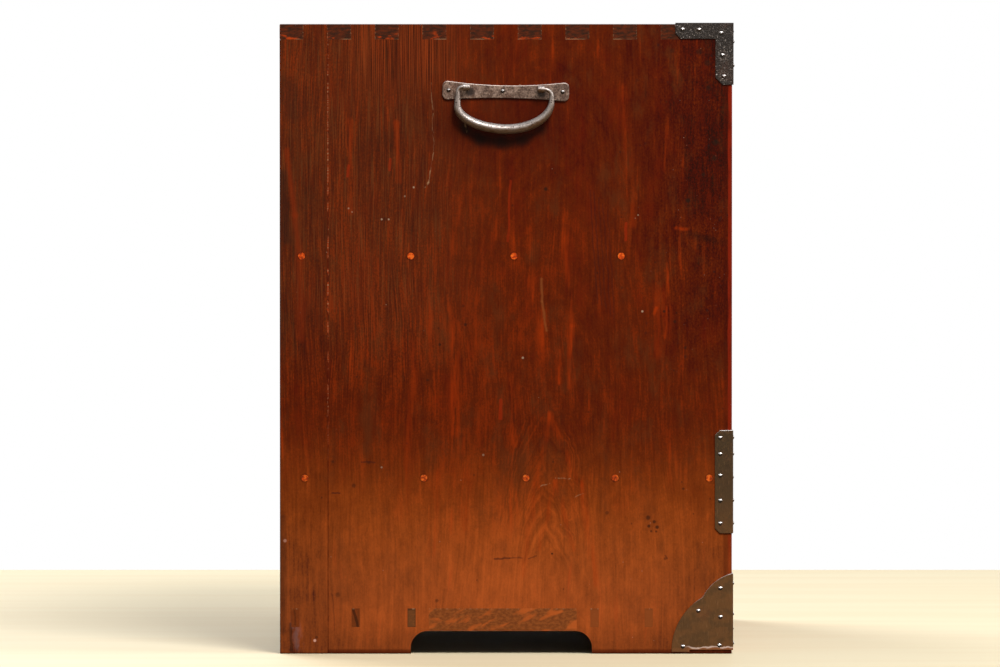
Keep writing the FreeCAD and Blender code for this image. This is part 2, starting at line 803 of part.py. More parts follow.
def bail_set(plate_sizes, plate_place, nail_places, eye_sizes, bow, radii):
    """Plate, eyes, bail, nails and holes of one handle, in its own frame about its pivot.

    The plate lies on local Z = 0; plate_place is its shift, its drop and its tilt to the pivot.
    """
    thickness = plate_sizes[-1]
    shift, drop, tilt = plate_place
    spread, width, wall, standoff = eye_sizes
    end_radius, middle_radius = radii
    seat = FreeCAD.Placement(Vec(shift, -drop, 0), FreeCAD.Rotation(Vec(0, 0, 1), tilt))

    def seated(shape):
        shape.Placement = seat.multiply(shape.Placement)
        return shape

    plate = seated(waisted_plate(*plate_sizes))
    nails = [seated(nail(x, 0, thickness)) for x in nail_places]
    holes = [seated(nail_hole(x, 0, thickness)) for x in nail_places]
    shank = end_radius * eye_shank_share
    eyes = []
    for side in (-1, 1):
        one = eye(width, end_radius + bail_clearance, wall, standoff, thickness, shank)
        one.translate(Vec(side * spread, 0, 0))
        eyes.append(one)
        foot = Vec(side * spread, 0, -eye_shank_length - peg_fit)
        deep = eye_shank_length + peg_fit + thickness
        holes.append(Part.makeCylinder(shank + peg_fit, deep, foot))
    moving = bail(*bow, end_radius, middle_radius, spread, width)
    moving.translate(Vec(0, 0, thickness + standoff))
    return {"plate": plate.cut(holes), "eyes": eyes, "bail": moving, "nails": nails, "holes": holes}


def carry_set(pivot_tilt, plate_tilt):
    """One carrying handle; its plate leans less than its pivot does."""
    return bail_set(
        (
            carry_plate_length,
            carry_plate_end,
            carry_plate_waist,
            carry_plate_corner,
            carry_plate_thickness,
        ),
        (carry_plate_shift, carry_plate_drop, plate_tilt - pivot_tilt),
        carry_nail_places,
        (carry_eye_spread, carry_eye_width, carry_eye_wall, carry_eye_standoff),
        (carry_bail_half, carry_bail_shoulder, carry_bail_drop, carry_bail_low_point),
        (carry_bail_end_radius, carry_bail_middle_radius),
    )


def pull_set():
    """One drawer pull."""
    return bail_set(
        (
            pull_plate_length,
            pull_plate_end,
            pull_plate_waist,
            pull_plate_corner,
            pull_plate_thickness,
        ),
        (0, pull_plate_drop, 0),
        pull_nail_places,
        (pull_eye_spread, pull_eye_width, pull_eye_wall, pull_eye_standoff),
        (pull_bail_half, pull_bail_shoulder, pull_bail_drop, pull_bail_low_point),
        (pull_bail_end_radius, pull_bail_middle_radius),
    )


# ---- Door ------------------------------------------------------------------------------
def keyhole(depth):
    """A round keyhole with a slot below it, from in front of its plate down to depth."""
    tall = depth + 2 * lock_plate_thickness
    barrel = Part.makeCylinder(keyhole_radius, tall, Vec(0, 0, -depth))
    slot_corner = Vec(-keyhole_slot_width / 2, -keyhole_slot_length, -depth)
    slot = Part.makeBox(keyhole_slot_width, keyhole_slot_length, tall, slot_corner)
    return joined([barrel, slot])


def lobed_plate(width, height, thickness):
    """A quince-shaped plate: four bowed sides that meet in small notches at its corners."""
    x = width / 2
    y = height / 2
    notch = lock_plate_notch
    corners = [Vec(notch * x, notch * y, 0), Vec(notch * x, -notch * y, 0)]
    corners += [Vec(-notch * x, -notch * y, 0), Vec(-notch * x, notch * y, 0)]
    crowns = [Vec(x, 0, 0), Vec(0, -y, 0), Vec(-x, 0, 0), Vec(0, y, 0)]
    edges = [Part.Arc(corners[i], crowns[i], corners[(i + 1) % 4]).toShape() for i in range(4)]
    return sheet(Part.Wire(edges), thickness)


def hinge_leaves(middle):
    """Case leaf, door leaf and pin of one hinge, in the inset front's frame about its pin.

    The door leaf lies on the door and the case leaf on the side's inner face, before the door.
    """
    top = hinge_height / 2
    knuckle = hinge_centre_knuckle / 2
    bore = hinge_pin_radius + hinge_pin_clearance
    notch = hinge_knuckle_radius + hinge_notch_gap
    leaf_end = front_set_back - hinge_leaf_inset
    t = hinge_leaf_thickness

    def barrel(low, high, radius):
        return Part.makeCylinder(radius, high - low, Vec(0, low, hinge_out), Vec(0, 1, 0))

    def slab(x0, x1, low, high, z0, z1):
        return Part.makeBox(x1 - x0, high - low, z1 - z0, Vec(x0, low, z0))

    case_plate = slab(-hinge_out, t - hinge_out, -top, top, hinge_out, leaf_end)
    notch_half = knuckle + hinge_knuckle_gap
    case_notch = slab(-hinge_out, 0, -notch_half, notch_half, 0, hinge_out + notch)
    outer = [
        barrel(-top, -notch_half, hinge_knuckle_radius),
        barrel(notch_half, top, hinge_knuckle_radius),
    ]
    bore_hole = barrel(-top - 1, top + 1, bore)
    case_leaf = joined([case_plate.cut(case_notch)] + outer).cut(bore_hole)

    tip = hinge_door_leaf
    door_wire = rounded(
        [
            (hinge_leaf_gap, -top),
            (tip - hinge_leaf_tip, -top),
            (tip, -top / 3),
            (tip, top / 3),
            (tip - hinge_leaf_tip, top),
            (hinge_leaf_gap, top),
        ]
    )
    door_plate = sheet(door_wire, t)
    door_notches = [
        slab(0, notch, -top - 1, -knuckle, 0, t),
        slab(0, notch, knuckle, top + 1, 0, t),
    ]
    centre = barrel(-knuckle, knuckle, hinge_knuckle_radius)
    door_leaf = joined([door_plate.cut(door_notches), centre]).cut(bore_hole)
    pin = joined(
        [
            barrel(-top, top, hinge_pin_radius),
            barrel(-top - hinge_pin_head, -top, hinge_pin_head_radius),
            barrel(top, top + hinge_pin_head, hinge_pin_head_radius),
        ]
    )
    where = ("inset", hinge_x, middle)
    in_case = ("inside", front + hinge_leaf_inset + hinge_nail_edge, middle)
    high_nail = hinge_nail_share * top
    case_spots = [(0.0, high_nail), (0.0, -high_nail)]
    door_spots = [(hinge_door_nail, high_nail), (hinge_door_nail, -high_nail)]
    door_spots.append((tip - hinge_leaf_tip, 0.0))
    nails = {
        "case": placed([nail(x, y, t) for x, y in case_spots], *in_case),
        "door": placed([nail(x, y, t) for x, y in door_spots], *where),
    }
    holes = {
        "case": placed([nail_hole(x, y, t) for x, y in case_spots], *in_case),
        "door": placed([nail_hole(x, y, t) for x, y in door_spots], *where),
    }
    return {
        "case": cut(place(case_leaf, *where), *holes["case"]),
        "door": cut(place(door_leaf, *where), *holes["door"]),
        "pin": place(pin, *where),
        "nails": nails,
        "holes": holes,
    }


def bolt_space(grow, travel=0.0):
    """The door lock's bolt, or with grow and travel the mortise it slides in."""
    end = door_right - bolt_set_back
    middle_y = face_front + door_thickness / 2
    middle_z = door_lock_height + bolt_beside_key
    return block(
        end - bolt_length - grow,
        end + travel,
        middle_y - bolt_thickness / 2 - grow,
        middle_y + bolt_thickness / 2 + grow,
        middle_z - bolt_height / 2 - grow,
        middle_z + bolt_height / 2 + grow,
    )


def wide_bolt_space(grow, travel=0.0):
    """The wide drawer lock's upright bolt, or with grow and travel its mortise."""
    end = divider_under - drawer_top_gap - bolt_set_back
    middle_y = face_front + drawer_front_thickness / 2
    return block(
        -bolt_height / 2 - grow,
        bolt_height / 2 + grow,
        middle_y - bolt_thickness / 2 - grow,
        middle_y + bolt_thickness / 2 + grow,
        end - bolt_length - grow,
        end + travel,
    )


def door_ring_parts():
    """Rose, eye and ring of the door's pull, in the door's frame about the eye's middle."""
    rim = Vec(ring_rose_radius, 0, 0)
    lip = Vec(ring_rose_radius, 0, ring_rose_thickness)
    crown = Vec(0, 0, ring_rose_thickness + ring_rose_dome)
    bow = Vec(ring_rose_radius * 0.55, 0, ring_rose_thickness + ring_rose_dome * 0.72)
    rose = revolved(
        Part.Wire(
            [
                Part.LineSegment(Vec(0, 0, 0), rim).toShape(),
                Part.LineSegment(rim, lip).toShape(),
                Part.Arc(lip, bow, crown).toShape(),
                Part.LineSegment(crown, Vec(0, 0, 0)).toShape(),
            ]
        )
    )
    loop = Part.makeTorus(ring_eye_radius, ring_eye_wire, Vec(0, 0, ring_eye_out), Vec(1, 0, 0))
    depth = eye_shank_length
    shank_top = ring_eye_out - ring_eye_radius
    shank = Part.makeCylinder(ring_eye_wire, depth + shank_top, Vec(0, 0, -depth))
    eye_solid = joined([loop, shank])
    foot = Vec(0, 0, -depth - peg_fit)
    hole = Part.makeCylinder(ring_eye_wire + peg_fit, depth + ring_eye_out, foot)
    ring = Part.makeTorus(ring_radius, ring_wire, Vec(0, -ring_radius, ring_eye_out), Vec(0, 0, 1))
    return {"rose": rose.cut(hole), "eye": eye_solid, "ring": ring, "hole": hole}


# ---- Drawers ---------------------------------------------------------------------------
def softened(board, edge_test):
    """Chamfers the edges that edge_test picks."""
    edges = [edge for edge in board.Edges if edge_test(edge)]
    return board.makeChamfer(edge_chamfer, edges) if edges else board


def on_face(edge):
    """True for a straight edge that lies in the plane of the door and drawer fronts."""
    return all(abs(vertex.Point.y - face_front) < 1e-6 for vertex in edge.Vertexes)


def drawer(x0, x1, z0, z1):
    """The boards of one drawer in the bay x0..x1, z0..z1, with finger joints at its back."""
    left = x0 + drawer_side_gap
    right = x1 - drawer_side_gap
    low = z0 + drawer_seat_gap
    high = z1 - drawer_top_gap
    front_back = face_front + drawer_front_thickness
    lap = front_back - drawer_lap
    back = face_front + drawer_length
    body_low = low + drawer_bottom_thickness
    body_high = high - drawer_side_below_front
    thick = drawer_side_thickness
    front_board = softened(block(left, right, face_front, front_back, low, high), on_face)
    bottom = block(left, right, lap, back, low, body_low)
    sides = [
        block(left, left + thick, lap, back, body_low, body_high),
        block(right - thick, right, lap, back, body_low, body_high),
    ]
    rear_board = block(left, right, back - thick, back, body_low, body_high)
    step = (body_high - body_low) / drawer_fingers
    for i in range(drawer_fingers):
        z = body_low + i * step
        ends = [
            block(left, left + thick, back - thick, back, z, z + step),
            block(right - thick, right, back - thick, back, z, z + step),
        ]
        if i % 2:
            sides = [side.cut(end) for side, end in zip(sides, ends)]
        else:
            rear_board = rear_board.cut(ends)
    front_board = cut(front_board, bottom, *sides)
    return {"front": front_board, "sides": sides, "back": rear_board, "bottom": bottom}


# ---- Putting it together ---------------------------------------------------------------
nodes = {}


def make_case_boards(divider, shelf, rails, fastener_holes):
    """The boards of the case; each board cuts its own seat in what carries it."""
    partition = partition_board()
    bottom = bottom_board()
    apron = front_apron()
    backs = [back_board(i) for i in range(back_board_count)]
    strike = bolt_space(bolt_clearance, bolt_set_back + door_gap + bolt_travel + strike_end_gap)
    wide_strike = wide_bolt_space(
        bolt_clearance, bolt_set_back + drawer_top_gap + bolt_travel + strike_end_gap
    )
    beyond = case_height
    before_seam = block(-beyond, beyond, -beyond, rear_seam, -beyond, 2 * beyond)
    behind_seam = block(-beyond, beyond, rear_seam, beyond, -beyond, 2 * beyond)
    for side, name in ((-1, "left"), (1, "right")):
        seated = [divider, shelf, bottom, apron] + rails + backs
        whole = cut(side_blank(side), *seated, *fastener_holes)
        nodes[name + "_side_main_board"] = whole.common(before_seam)
        nodes[name + "_side_rear_board"] = whole.common(behind_seam)
    nodes["top_board"] = cut(top_board(), partition, *fastener_holes)
    nodes["bottom_board"] = cut(bottom, *fastener_holes)
    nodes["divider_board"] = cut(divider, partition, wide_strike, *fastener_holes)
    nodes["cupboard_shelf"] = cut(shelf, *fastener_holes)
    nodes["partition_board"] = cut(partition, shelf, strike, *rails)
    nodes["drawer_rails"] = group([cut(rail, *fastener_holes) for rail in rails])
    nodes["drawer_runners"] = group(drawer_runners(1) + drawer_runners(2))
    nodes["front_apron"] = cut(apron, *fastener_holes)
    nodes["back_boards"] = group([cut(board, *fastener_holes) for board in backs])


def make_case_irons(left_holes):
    """Corners, straps and foot plates, each a left piece and its mirror image."""
    for name, make in (
        ("top_corner_irons", top_corner_left),
        ("middle_straps", middle_strap_left),
        ("foot_plates", foot_plate_left),
    ):
        left_iron = cut(make(), *left_holes)
        nodes[name] = group([left_iron] + mirrored([left_iron]))


def make_carry_handles():
    """Both carrying handles. Returns their nails and the holes they need in the sides."""
    plates, eyes, nails, holes = [], [], [], []
    for side, pivot_tilt, plate_tilt in (
        ("left", carry_left_pivot_tilt, carry_left_plate_tilt),
        ("right", 0.0, 0.0),
    ):
        parts = carry_set(pivot_tilt, plate_tilt)
        where = (side, depth_middle + carry_set_back, carry_pivot_height, pivot_tilt)
        plates += placed([parts["plate"]], *where)
        eyes += placed(parts["eyes"], *where)
        nails += placed(parts["nails"], *where)
        holes += placed(parts["holes"], *where)
        nodes[side + "_carry_handle"] = place(parts["bail"], *where)
    nodes["carry_handle_plates"] = group(plates)
    nodes["carry_handle_eyes"] = group(eyes)
    return nails, holes


def make_door(hinges):
    """The door with its cleats, hinge leaves, lock and ring."""
    at_lock = ("inset", lock_x, door_lock_height)
    at_ring = ("inset", lock_x, ring_height)
    ring_parts = door_ring_parts()
    nail_height = lock_plate_height / 2 - lock_nail_inset
    spots = [(0, nail_height), (0, -nail_height)]
    plate_nails = placed([nail(x, y, lock_plate_thickness) for x, y in spots], *at_lock)
    plate_holes = placed([nail_hole(x, y, lock_plate_thickness) for x, y in spots], *at_lock)
    plate = place(lobed_plate(lock_plate_width, lock_plate_height, lock_plate_thickness), *at_lock)
    key = place(keyhole(keyhole_depth), *at_lock)
    cuts = plate_holes + [one for hinge in hinges for one in hinge["holes"]["door"]]
    cuts += [
        key,
        place(ring_parts["hole"], *at_ring),
        bolt_space(bolt_clearance, bolt_set_back + door_gap),
    ]
    slab = block(door_left, door_right, face_front, door_back, door_low, door_high)
    slab = softened(slab, on_face)
    panel_low = door_low + cleat_height
    panel_high = door_high - cleat_height
    tongue_y = face_front + (door_thickness - cleat_tongue_thickness) / 2
    tongue = block(
        door_left,
        door_right,
        tongue_y,
        tongue_y + cleat_tongue_thickness,
        panel_low - cleat_tongue,
        panel_high + cleat_tongue,
    )
    band = block(door_left, door_right, face_front, door_back, panel_low, panel_high)
    panel = slab.common(joined([band, tongue]))
    nodes["door_board"] = cut(panel, *cuts)
    nodes["door_cleats"] = group([cut(cleat, *cuts) for cleat in slab.cut(panel).Solids])
    nodes["hinge_door_leaves"] = group([hinge["door"] for hinge in hinges])
    nodes["door_lock_plate"] = cut(plate, key, *plate_holes)
    nodes["door_ring_mount"] = group(placed([ring_parts["rose"], ring_parts["eye"]], *at_ring))
    nodes["door_nails"] = group(
        plate_nails + [one for hinge in hinges for one in hinge["nails"]["door"]]
    )
    nodes["door_lock_bolt"] = bolt_space(0.0)
    nodes["door_ring"] = place(ring_parts["ring"], *at_ring)


def make_drawer(name, bay, pull, pull_places, extra_cuts):
    """One drawer in its bay (x0, x1, z0, z1), with a pull at each of pull_places."""
    boards = drawer(*bay)
    height = (bay[2] + bay[3]) / 2 + pull_above_middle
    mounts = []
    cuts = list(extra_cuts)
    for label, x in pull_places:
        mounts += placed([pull["plate"]] + pull["eyes"] + pull["nails"], "inset", x, height)
        cuts += placed(pull["holes"], "inset", x, height)
        nodes[name + label + "_bail"] = place(pull["bail"], "inset", x, height)
    nodes[name + "_front"] = cut(boards["front"], *cuts)
    nodes[name + "_sides"] = group(boards["sides"])
    nodes[name + "_back"] = boards["back"]
    nodes[name + "_bottom"] = boards["bottom"]
    nodes[name + "_pull_mount"] = group(mounts)


def make_drawers():
    """The three small drawers, then the wide one with its lock."""
    pull = pull_set()
    small_middle = (partition_right + inner) / 2
    for level, name in enumerate(("lower_drawer", "middle_drawer", "upper_drawer")):
        floor = rail_floor(level)
        bay = (partition_right, inner, floor, floor + bay_height)
        make_drawer(name, bay, pull, [("", small_middle)], [])
    at_lock = ("inset", 0, wide_lock_height)
    spread = wide_lock_radius - lock_nail_inset
    spots = [(0, spread), (0, -spread), (spread, 0), (-spread, 0)]
    plate_nails = placed([nail(x, y, lock_plate_thickness) for x, y in spots], *at_lock)
    plate_holes = placed([nail_hole(x, y, lock_plate_thickness) for x, y in spots], *at_lock)
    plate = place(Part.makeCylinder(wide_lock_radius, lock_plate_thickness), *at_lock)
    key = place(keyhole(keyhole_depth), *at_lock)
    mortise = wide_bolt_space(bolt_clearance, bolt_set_back + drawer_top_gap)
    pull_places = [("_left", -wide_pull_spread), ("_right", wide_pull_spread)]
    bay = (-inner, inner, bottom_top, divider_under)
    make_drawer("wide_drawer", bay, pull, pull_places, plate_holes + [key, mortise])
    nodes["wide_drawer_lock_plate"] = group([cut(plate, key, *plate_holes)] + plate_nails)
    nodes["wide_drawer_lock_bolt"] = wide_bolt_space(0.0)


divider = level_board(-inner, inner, front, back_front, divider_middle, divider_thickness)
shelf_front = door_back + door_stop_gap
shelf = level_board(-inner, partition_left, shelf_front, back_front, shelf_middle, shelf_thickness)
rails = [drawer_rail(level) for level in (1, 2)]
hinges = [hinge_leaves(hinge_low), hinge_leaves(hinge_high)]
left_nails = left_fitting_nails(nail)
left_holes = left_fitting_nails(nail_hole)
carry_nails, carry_holes = make_carry_handles()
hinge_case_nails = [one for hinge in hinges for one in hinge["nails"]["case"]]
hinge_case_holes = [one for hinge in hinges for one in hinge["holes"]["case"]]
peg_holes = side_pegs(peg_fit) + back_pegs(peg_fit)
iron_holes = left_holes + mirrored(left_holes) + carry_holes + hinge_case_holes

make_case_boards(divider, shelf, rails, peg_holes + iron_holes)
make_case_irons(left_holes)
make_door(hinges)
make_drawers()
nodes["wooden_pegs"] = group(side_pegs() + back_pegs())
nodes["case_nails"] = group(left_nails + mirrored(left_nails) + carry_nails + hinge_case_nails)
nodes["hinge_case_leaves"] = group([hinge["case"] for hinge in hinges])
nodes["hinge_pins"] = group([hinge["pin"] for hinge in hinges])

os.makedirs("parts", exist_ok=True)
for name, shape in nodes.items():
    sound = shape.Solids and all(solid.isValid() and solid.Volume > 0 for solid in shape.Solids)
    print(name, len(shape.Solids), "solids", round(shape.Volume), "mm3", "" if sound else "UNSOUND")
    shape.exportStep("parts/" + name + ".step")
print(len(nodes), "nodes")
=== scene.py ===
"""A small tansu: lacquered boards, forged iron fittings, four drawers and a cupboard door.

Laid out as an add-on and run as a script. Everything is in metres in the chest's own frame:
+X to the right of someone facing the front, the front faces -Y, +Z is up. Shader patterns
work in millimetres.
"""

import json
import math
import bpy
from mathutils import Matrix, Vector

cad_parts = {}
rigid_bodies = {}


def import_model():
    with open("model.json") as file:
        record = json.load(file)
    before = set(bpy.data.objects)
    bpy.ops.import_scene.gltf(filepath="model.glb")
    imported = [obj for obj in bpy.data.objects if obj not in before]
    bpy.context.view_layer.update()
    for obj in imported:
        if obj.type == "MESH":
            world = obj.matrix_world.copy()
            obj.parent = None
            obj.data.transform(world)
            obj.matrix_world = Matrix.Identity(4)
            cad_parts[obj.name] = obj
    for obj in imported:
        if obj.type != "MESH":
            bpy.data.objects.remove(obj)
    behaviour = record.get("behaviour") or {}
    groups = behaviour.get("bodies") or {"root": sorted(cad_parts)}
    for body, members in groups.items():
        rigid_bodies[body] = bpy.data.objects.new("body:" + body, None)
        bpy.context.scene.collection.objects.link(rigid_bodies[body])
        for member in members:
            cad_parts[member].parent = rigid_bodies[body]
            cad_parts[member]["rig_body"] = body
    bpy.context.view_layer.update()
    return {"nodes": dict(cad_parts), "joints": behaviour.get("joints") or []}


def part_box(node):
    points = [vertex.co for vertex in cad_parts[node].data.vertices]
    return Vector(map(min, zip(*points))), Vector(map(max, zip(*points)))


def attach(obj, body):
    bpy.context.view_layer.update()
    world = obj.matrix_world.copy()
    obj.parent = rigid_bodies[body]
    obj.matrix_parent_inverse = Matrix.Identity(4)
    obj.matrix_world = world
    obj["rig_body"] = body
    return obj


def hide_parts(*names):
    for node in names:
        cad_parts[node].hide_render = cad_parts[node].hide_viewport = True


bl_info = {
    "name": "Small Tansu Chest",
    "version": (1, 0, 0),
    "blender": (4, 5, 0),
    "location": "View3D > Sidebar > Tansu",
    "description": "A lacquered wooden chest with iron fittings, drawers and a cupboard door",
    "category": "Object",
}

from dataclasses import dataclass

import bmesh
import bpy
import numpy as np
from mathutils import Vector

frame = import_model()
nodes = frame["nodes"]

MM = 0.001


def box_mm(node):
    """A CAD node's lowest and highest corners, in millimetres."""
    return [corner * 1000 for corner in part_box(node)]


# Where the case's faces and joints are, in millimetres. FACE is where the door and the
# drawers' fronts stand, back from the case's own front. The top board's underside is
# TOP_UNDER, and BACK_THIRD is a third of the back's half width.
LEFT, FRONT, _ = box_mm("left_side_main_board")[0]
SEAM = box_mm("left_side_main_board")[1].y
REAR = box_mm("left_side_rear_board")[1].y
MIDDLE = (FRONT + REAR) / 2
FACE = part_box("lower_drawer_front")[0].y * 1000
TOP_UNDER = box_mm("top_board")[0].z
BACK_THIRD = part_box("back_boards")[1].x * 1000 / 3
UPPER_PEGS, LOWER_PEGS = 352.0, 155.5
FINGERS = 19
FINGER_PITCH = (REAR - FRONT) / FINGERS

# Corners nearer than MERGED become one, and those nearer than AT_SEAM to the seam lie on it,
# both in metres. Faces that turn by less than JOINED become one, those that turn by more than
# FLAT are a curve, and those that turn by more than CREASE have an edge between them. SHORTEST
# is the shortest edge that is rounded, in millimetres.
MERGED = 2e-6
AT_SEAM = 1e-5
JOINED = math.radians(0.3)
FLAT = math.radians(0.2)
CREASE = math.radians(35)
SHORTEST = {"lacquered_wood": 30, "chased_iron": 0.5, "plain_iron": 0.5}


def linear(red, green, blue):
    """Scene-linear colour of an sRGB colour given as three numbers up to 255."""
    channels = np.array([red, green, blue]) / 255.0
    curved = np.where(channels <= 0.04045, channels / 12.92, ((channels + 0.055) / 1.055) ** 2.4)
    return tuple(float(channel) for channel in curved)


# ---- Settings --------------------------------------------------------------------------
def colour_property(name, description, colour):
    """A colour setting."""
    return bpy.props.FloatVectorProperty(
        name=name, description=description, default=colour, subtype="COLOR", size=3, min=0, max=1
    )


def number_property(name, description, default, **kind):
    """A plain number setting, or a length or power with its kind."""
    return bpy.props.FloatProperty(name=name, description=description, default=default, **kind)


def length_property(name, description, length):
    """A length setting, given in millimetres."""
    kind = {"subtype": "DISTANCE", "unit": "LENGTH"}
    return number_property(name, description, length * MM, **kind)


class TansuWoodSettings(bpy.types.PropertyGroup):
    """Colours and finish of the boards."""

    black: colour_property("Black grain", "Wax in the darkest lines", linear(36, 9, 4))
    dark: colour_property("Dark grain", "Lacquer over the dark rings", linear(64, 12, 3))
    brown: colour_property("Lacquer", "The lacquer's usual colour", linear(87, 28, 4))
    orange: colour_property("Orange grain", "Lacquer over the bright rings", linear(126, 40, 5))
    # Colours towards the floor, lighter and more orange.
    low_dark: colour_property("Low dark grain", "Dark rings near the foot", linear(126, 56, 12))
    low_brown: colour_property("Low lacquer", "Lacquer near the foot", linear(156, 71, 20))
    low_orange: colour_property("Low orange grain", "Rings at the foot", linear(186, 86, 28))
    dusty: colour_property("Dulled lacquer", "Where the lacquer has dulled", linear(84, 42, 17))
    warm: colour_property("Red lacquer", "Where the lacquer is thick and red", linear(104, 26, 4))
    glow: colour_property("Glowing grain", "Where the wood shines through", linear(168, 52, 6))
    # Red along the front arrises: painted highlight and worn lacquer.
    arris_highlight_and_wear: colour_property("Worn arris", "Lacquer on the front arrises", linear(122, 30, 10))
    end_grain: colour_property("End grain", "Lacquered end grain", linear(58, 27, 14))
    glue: colour_property("Glue line", "Pale filler in joints and cracks", linear(168, 128, 92))
    bare: colour_property("Bare wood", "Unlacquered wood inside", linear(150, 108, 68))
    bare_dark: colour_property("Bare grain", "Rings of the bare wood", linear(108, 70, 40))
    peg: colour_property("Pegs", "End grain of the wooden pegs", linear(214, 74, 10))
    ring_spacing: length_property("Ring spacing", "Usual width of a growth ring", 3.0)
    arris: length_property("Arris", "Rounding of the boards' outer arrises", 0.9)


class TansuIronSettings(bpy.types.PropertyGroup):
    """Colours and finish of the iron."""

    black: colour_property("Black iron", "Oiled black iron", linear(34, 27, 23))
    grey: colour_property("Rubbed iron", "Iron rubbed through its black", linear(94, 84, 76))
    bronze: colour_property("Brown iron", "Brown patina low on the case", linear(96, 61, 27))
    rust: colour_property("Rust", "Rust in the hollows", linear(96, 50, 28))
    plate: colour_property("Plate iron", "Iron of the handles' plates", linear(134, 110, 96))
    steel: colour_property("Handled steel", "Steel polished by hands", linear(140, 130, 124))
    # Colour of the nail heads' painted highlight.
    nail: colour_property("Nail heads", "Rubbed crowns of the nail heads", linear(214, 208, 204))
    edge: length_property("Edge", "Rounding of the plates' edges", 0.3)


class TansuBailSettings(bpy.types.PropertyGroup):
    """Sizes of one kind of bail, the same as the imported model's."""

    half_left: length_property("Left half", "Middle to the widest point at the left", 27.0)
    half_right: length_property("Right half", "Middle to the widest point at the right", 27.0)
    shoulder_left: length_property("Left shoulder", "Pivot down to the widest point", 8.4)
    shoulder_right: length_property("Right shoulder", "Pivot down to the widest point", 8.4)
    drop: length_property("Drop", "Pivot down to the lowest point", 23.5)
    low_point: length_property("Lowest point", "Its distance to the right of the middle", 0.0)
    end_radius: length_property("End radius", "Radius in the eyes", 1.3)
    middle_radius: length_property("Middle radius", "Radius at the lowest point", 2.6)
    spread: length_property("Eye spread", "Middle of each eye from the handle's middle", 21.0)
    eye_width: length_property("Eye width", "Length of an eye along the pivot", 4.4)
    out: length_property("Standing out", "Pivot's axis out from the wood", 5.4)


class TansuStageSettings(bpy.types.PropertyGroup):
    """Floor, light and camera."""

    floor: colour_property("Floor", "The pale floor", linear(212, 200, 168))
    floor_end: length_property("Floor's end", "Where the floor ends behind the chest", 1056.0)
    ambient: number_property("Ambient", "Strength of the even light from all round", 0.15)
    key: number_property("Key", "Power of the lamp above the left side", 118.0, unit="POWER")
    fill: number_property("Fill", "Power of the lamp before the front", 75.0, unit="POWER")
    back: number_property("Back", "Power of the lamp behind the right", 100.0, unit="POWER")
    distance: length_property("Camera distance", "Camera to the left side", 8000.0)


# ---- Shader maths ----------------------------------------------------------------------
class Value:
    """A shader socket. Arithmetic on it adds Math nodes, so formulas read as formulas."""

    def __init__(self, finish, socket):
        self.finish = finish
        self.socket = socket

    def maths(self, operation, *values):
        """One Math node on its values."""
        return self.finish.node("ShaderNodeMath", {"operation": operation}, values)

    def __add__(self, other):
        return self.maths("ADD", self, other)

    def __sub__(self, other):
        return self.maths("SUBTRACT", self, other)

    def __rsub__(self, other):
        return self.maths("SUBTRACT", other, self)

    def __mul__(self, other):
        return self.maths("MULTIPLY", self, other)

    def __truediv__(self, other):
        return self.maths("DIVIDE", self, other)

    def __pow__(self, other):
        return self.maths("POWER", self, other)

    def __abs__(self):
        return self.maths("ABSOLUTE", self)

    __radd__ = __add__
    __rmul__ = __mul__

    def least(self, other):
        """The smaller of this and another."""
        return self.maths("MINIMUM", self, other)

    def most(self, other):
        """The larger of this and another."""
        return self.maths("MAXIMUM", self, other)

    def fold(self, span):
        """The value folded back and forth between 0 and span."""
        return self.maths("PINGPONG", self, span)

    def rise(self, low, high):
        """0 below low, 1 above high and a smooth step between; low may be the larger."""
        settings = {"interpolation_type": "SMOOTHSTEP"}
        inputs = {"Value": self, "From Min": low, "From Max": high}
        return self.finish.node("ShaderNodeMapRange", settings, inputs)

    def near(self, middle, reach):
        """1 at middle, falling smoothly to 0 at reach either side of it."""
        return abs(self - middle).rise(reach, reach * 0.35)


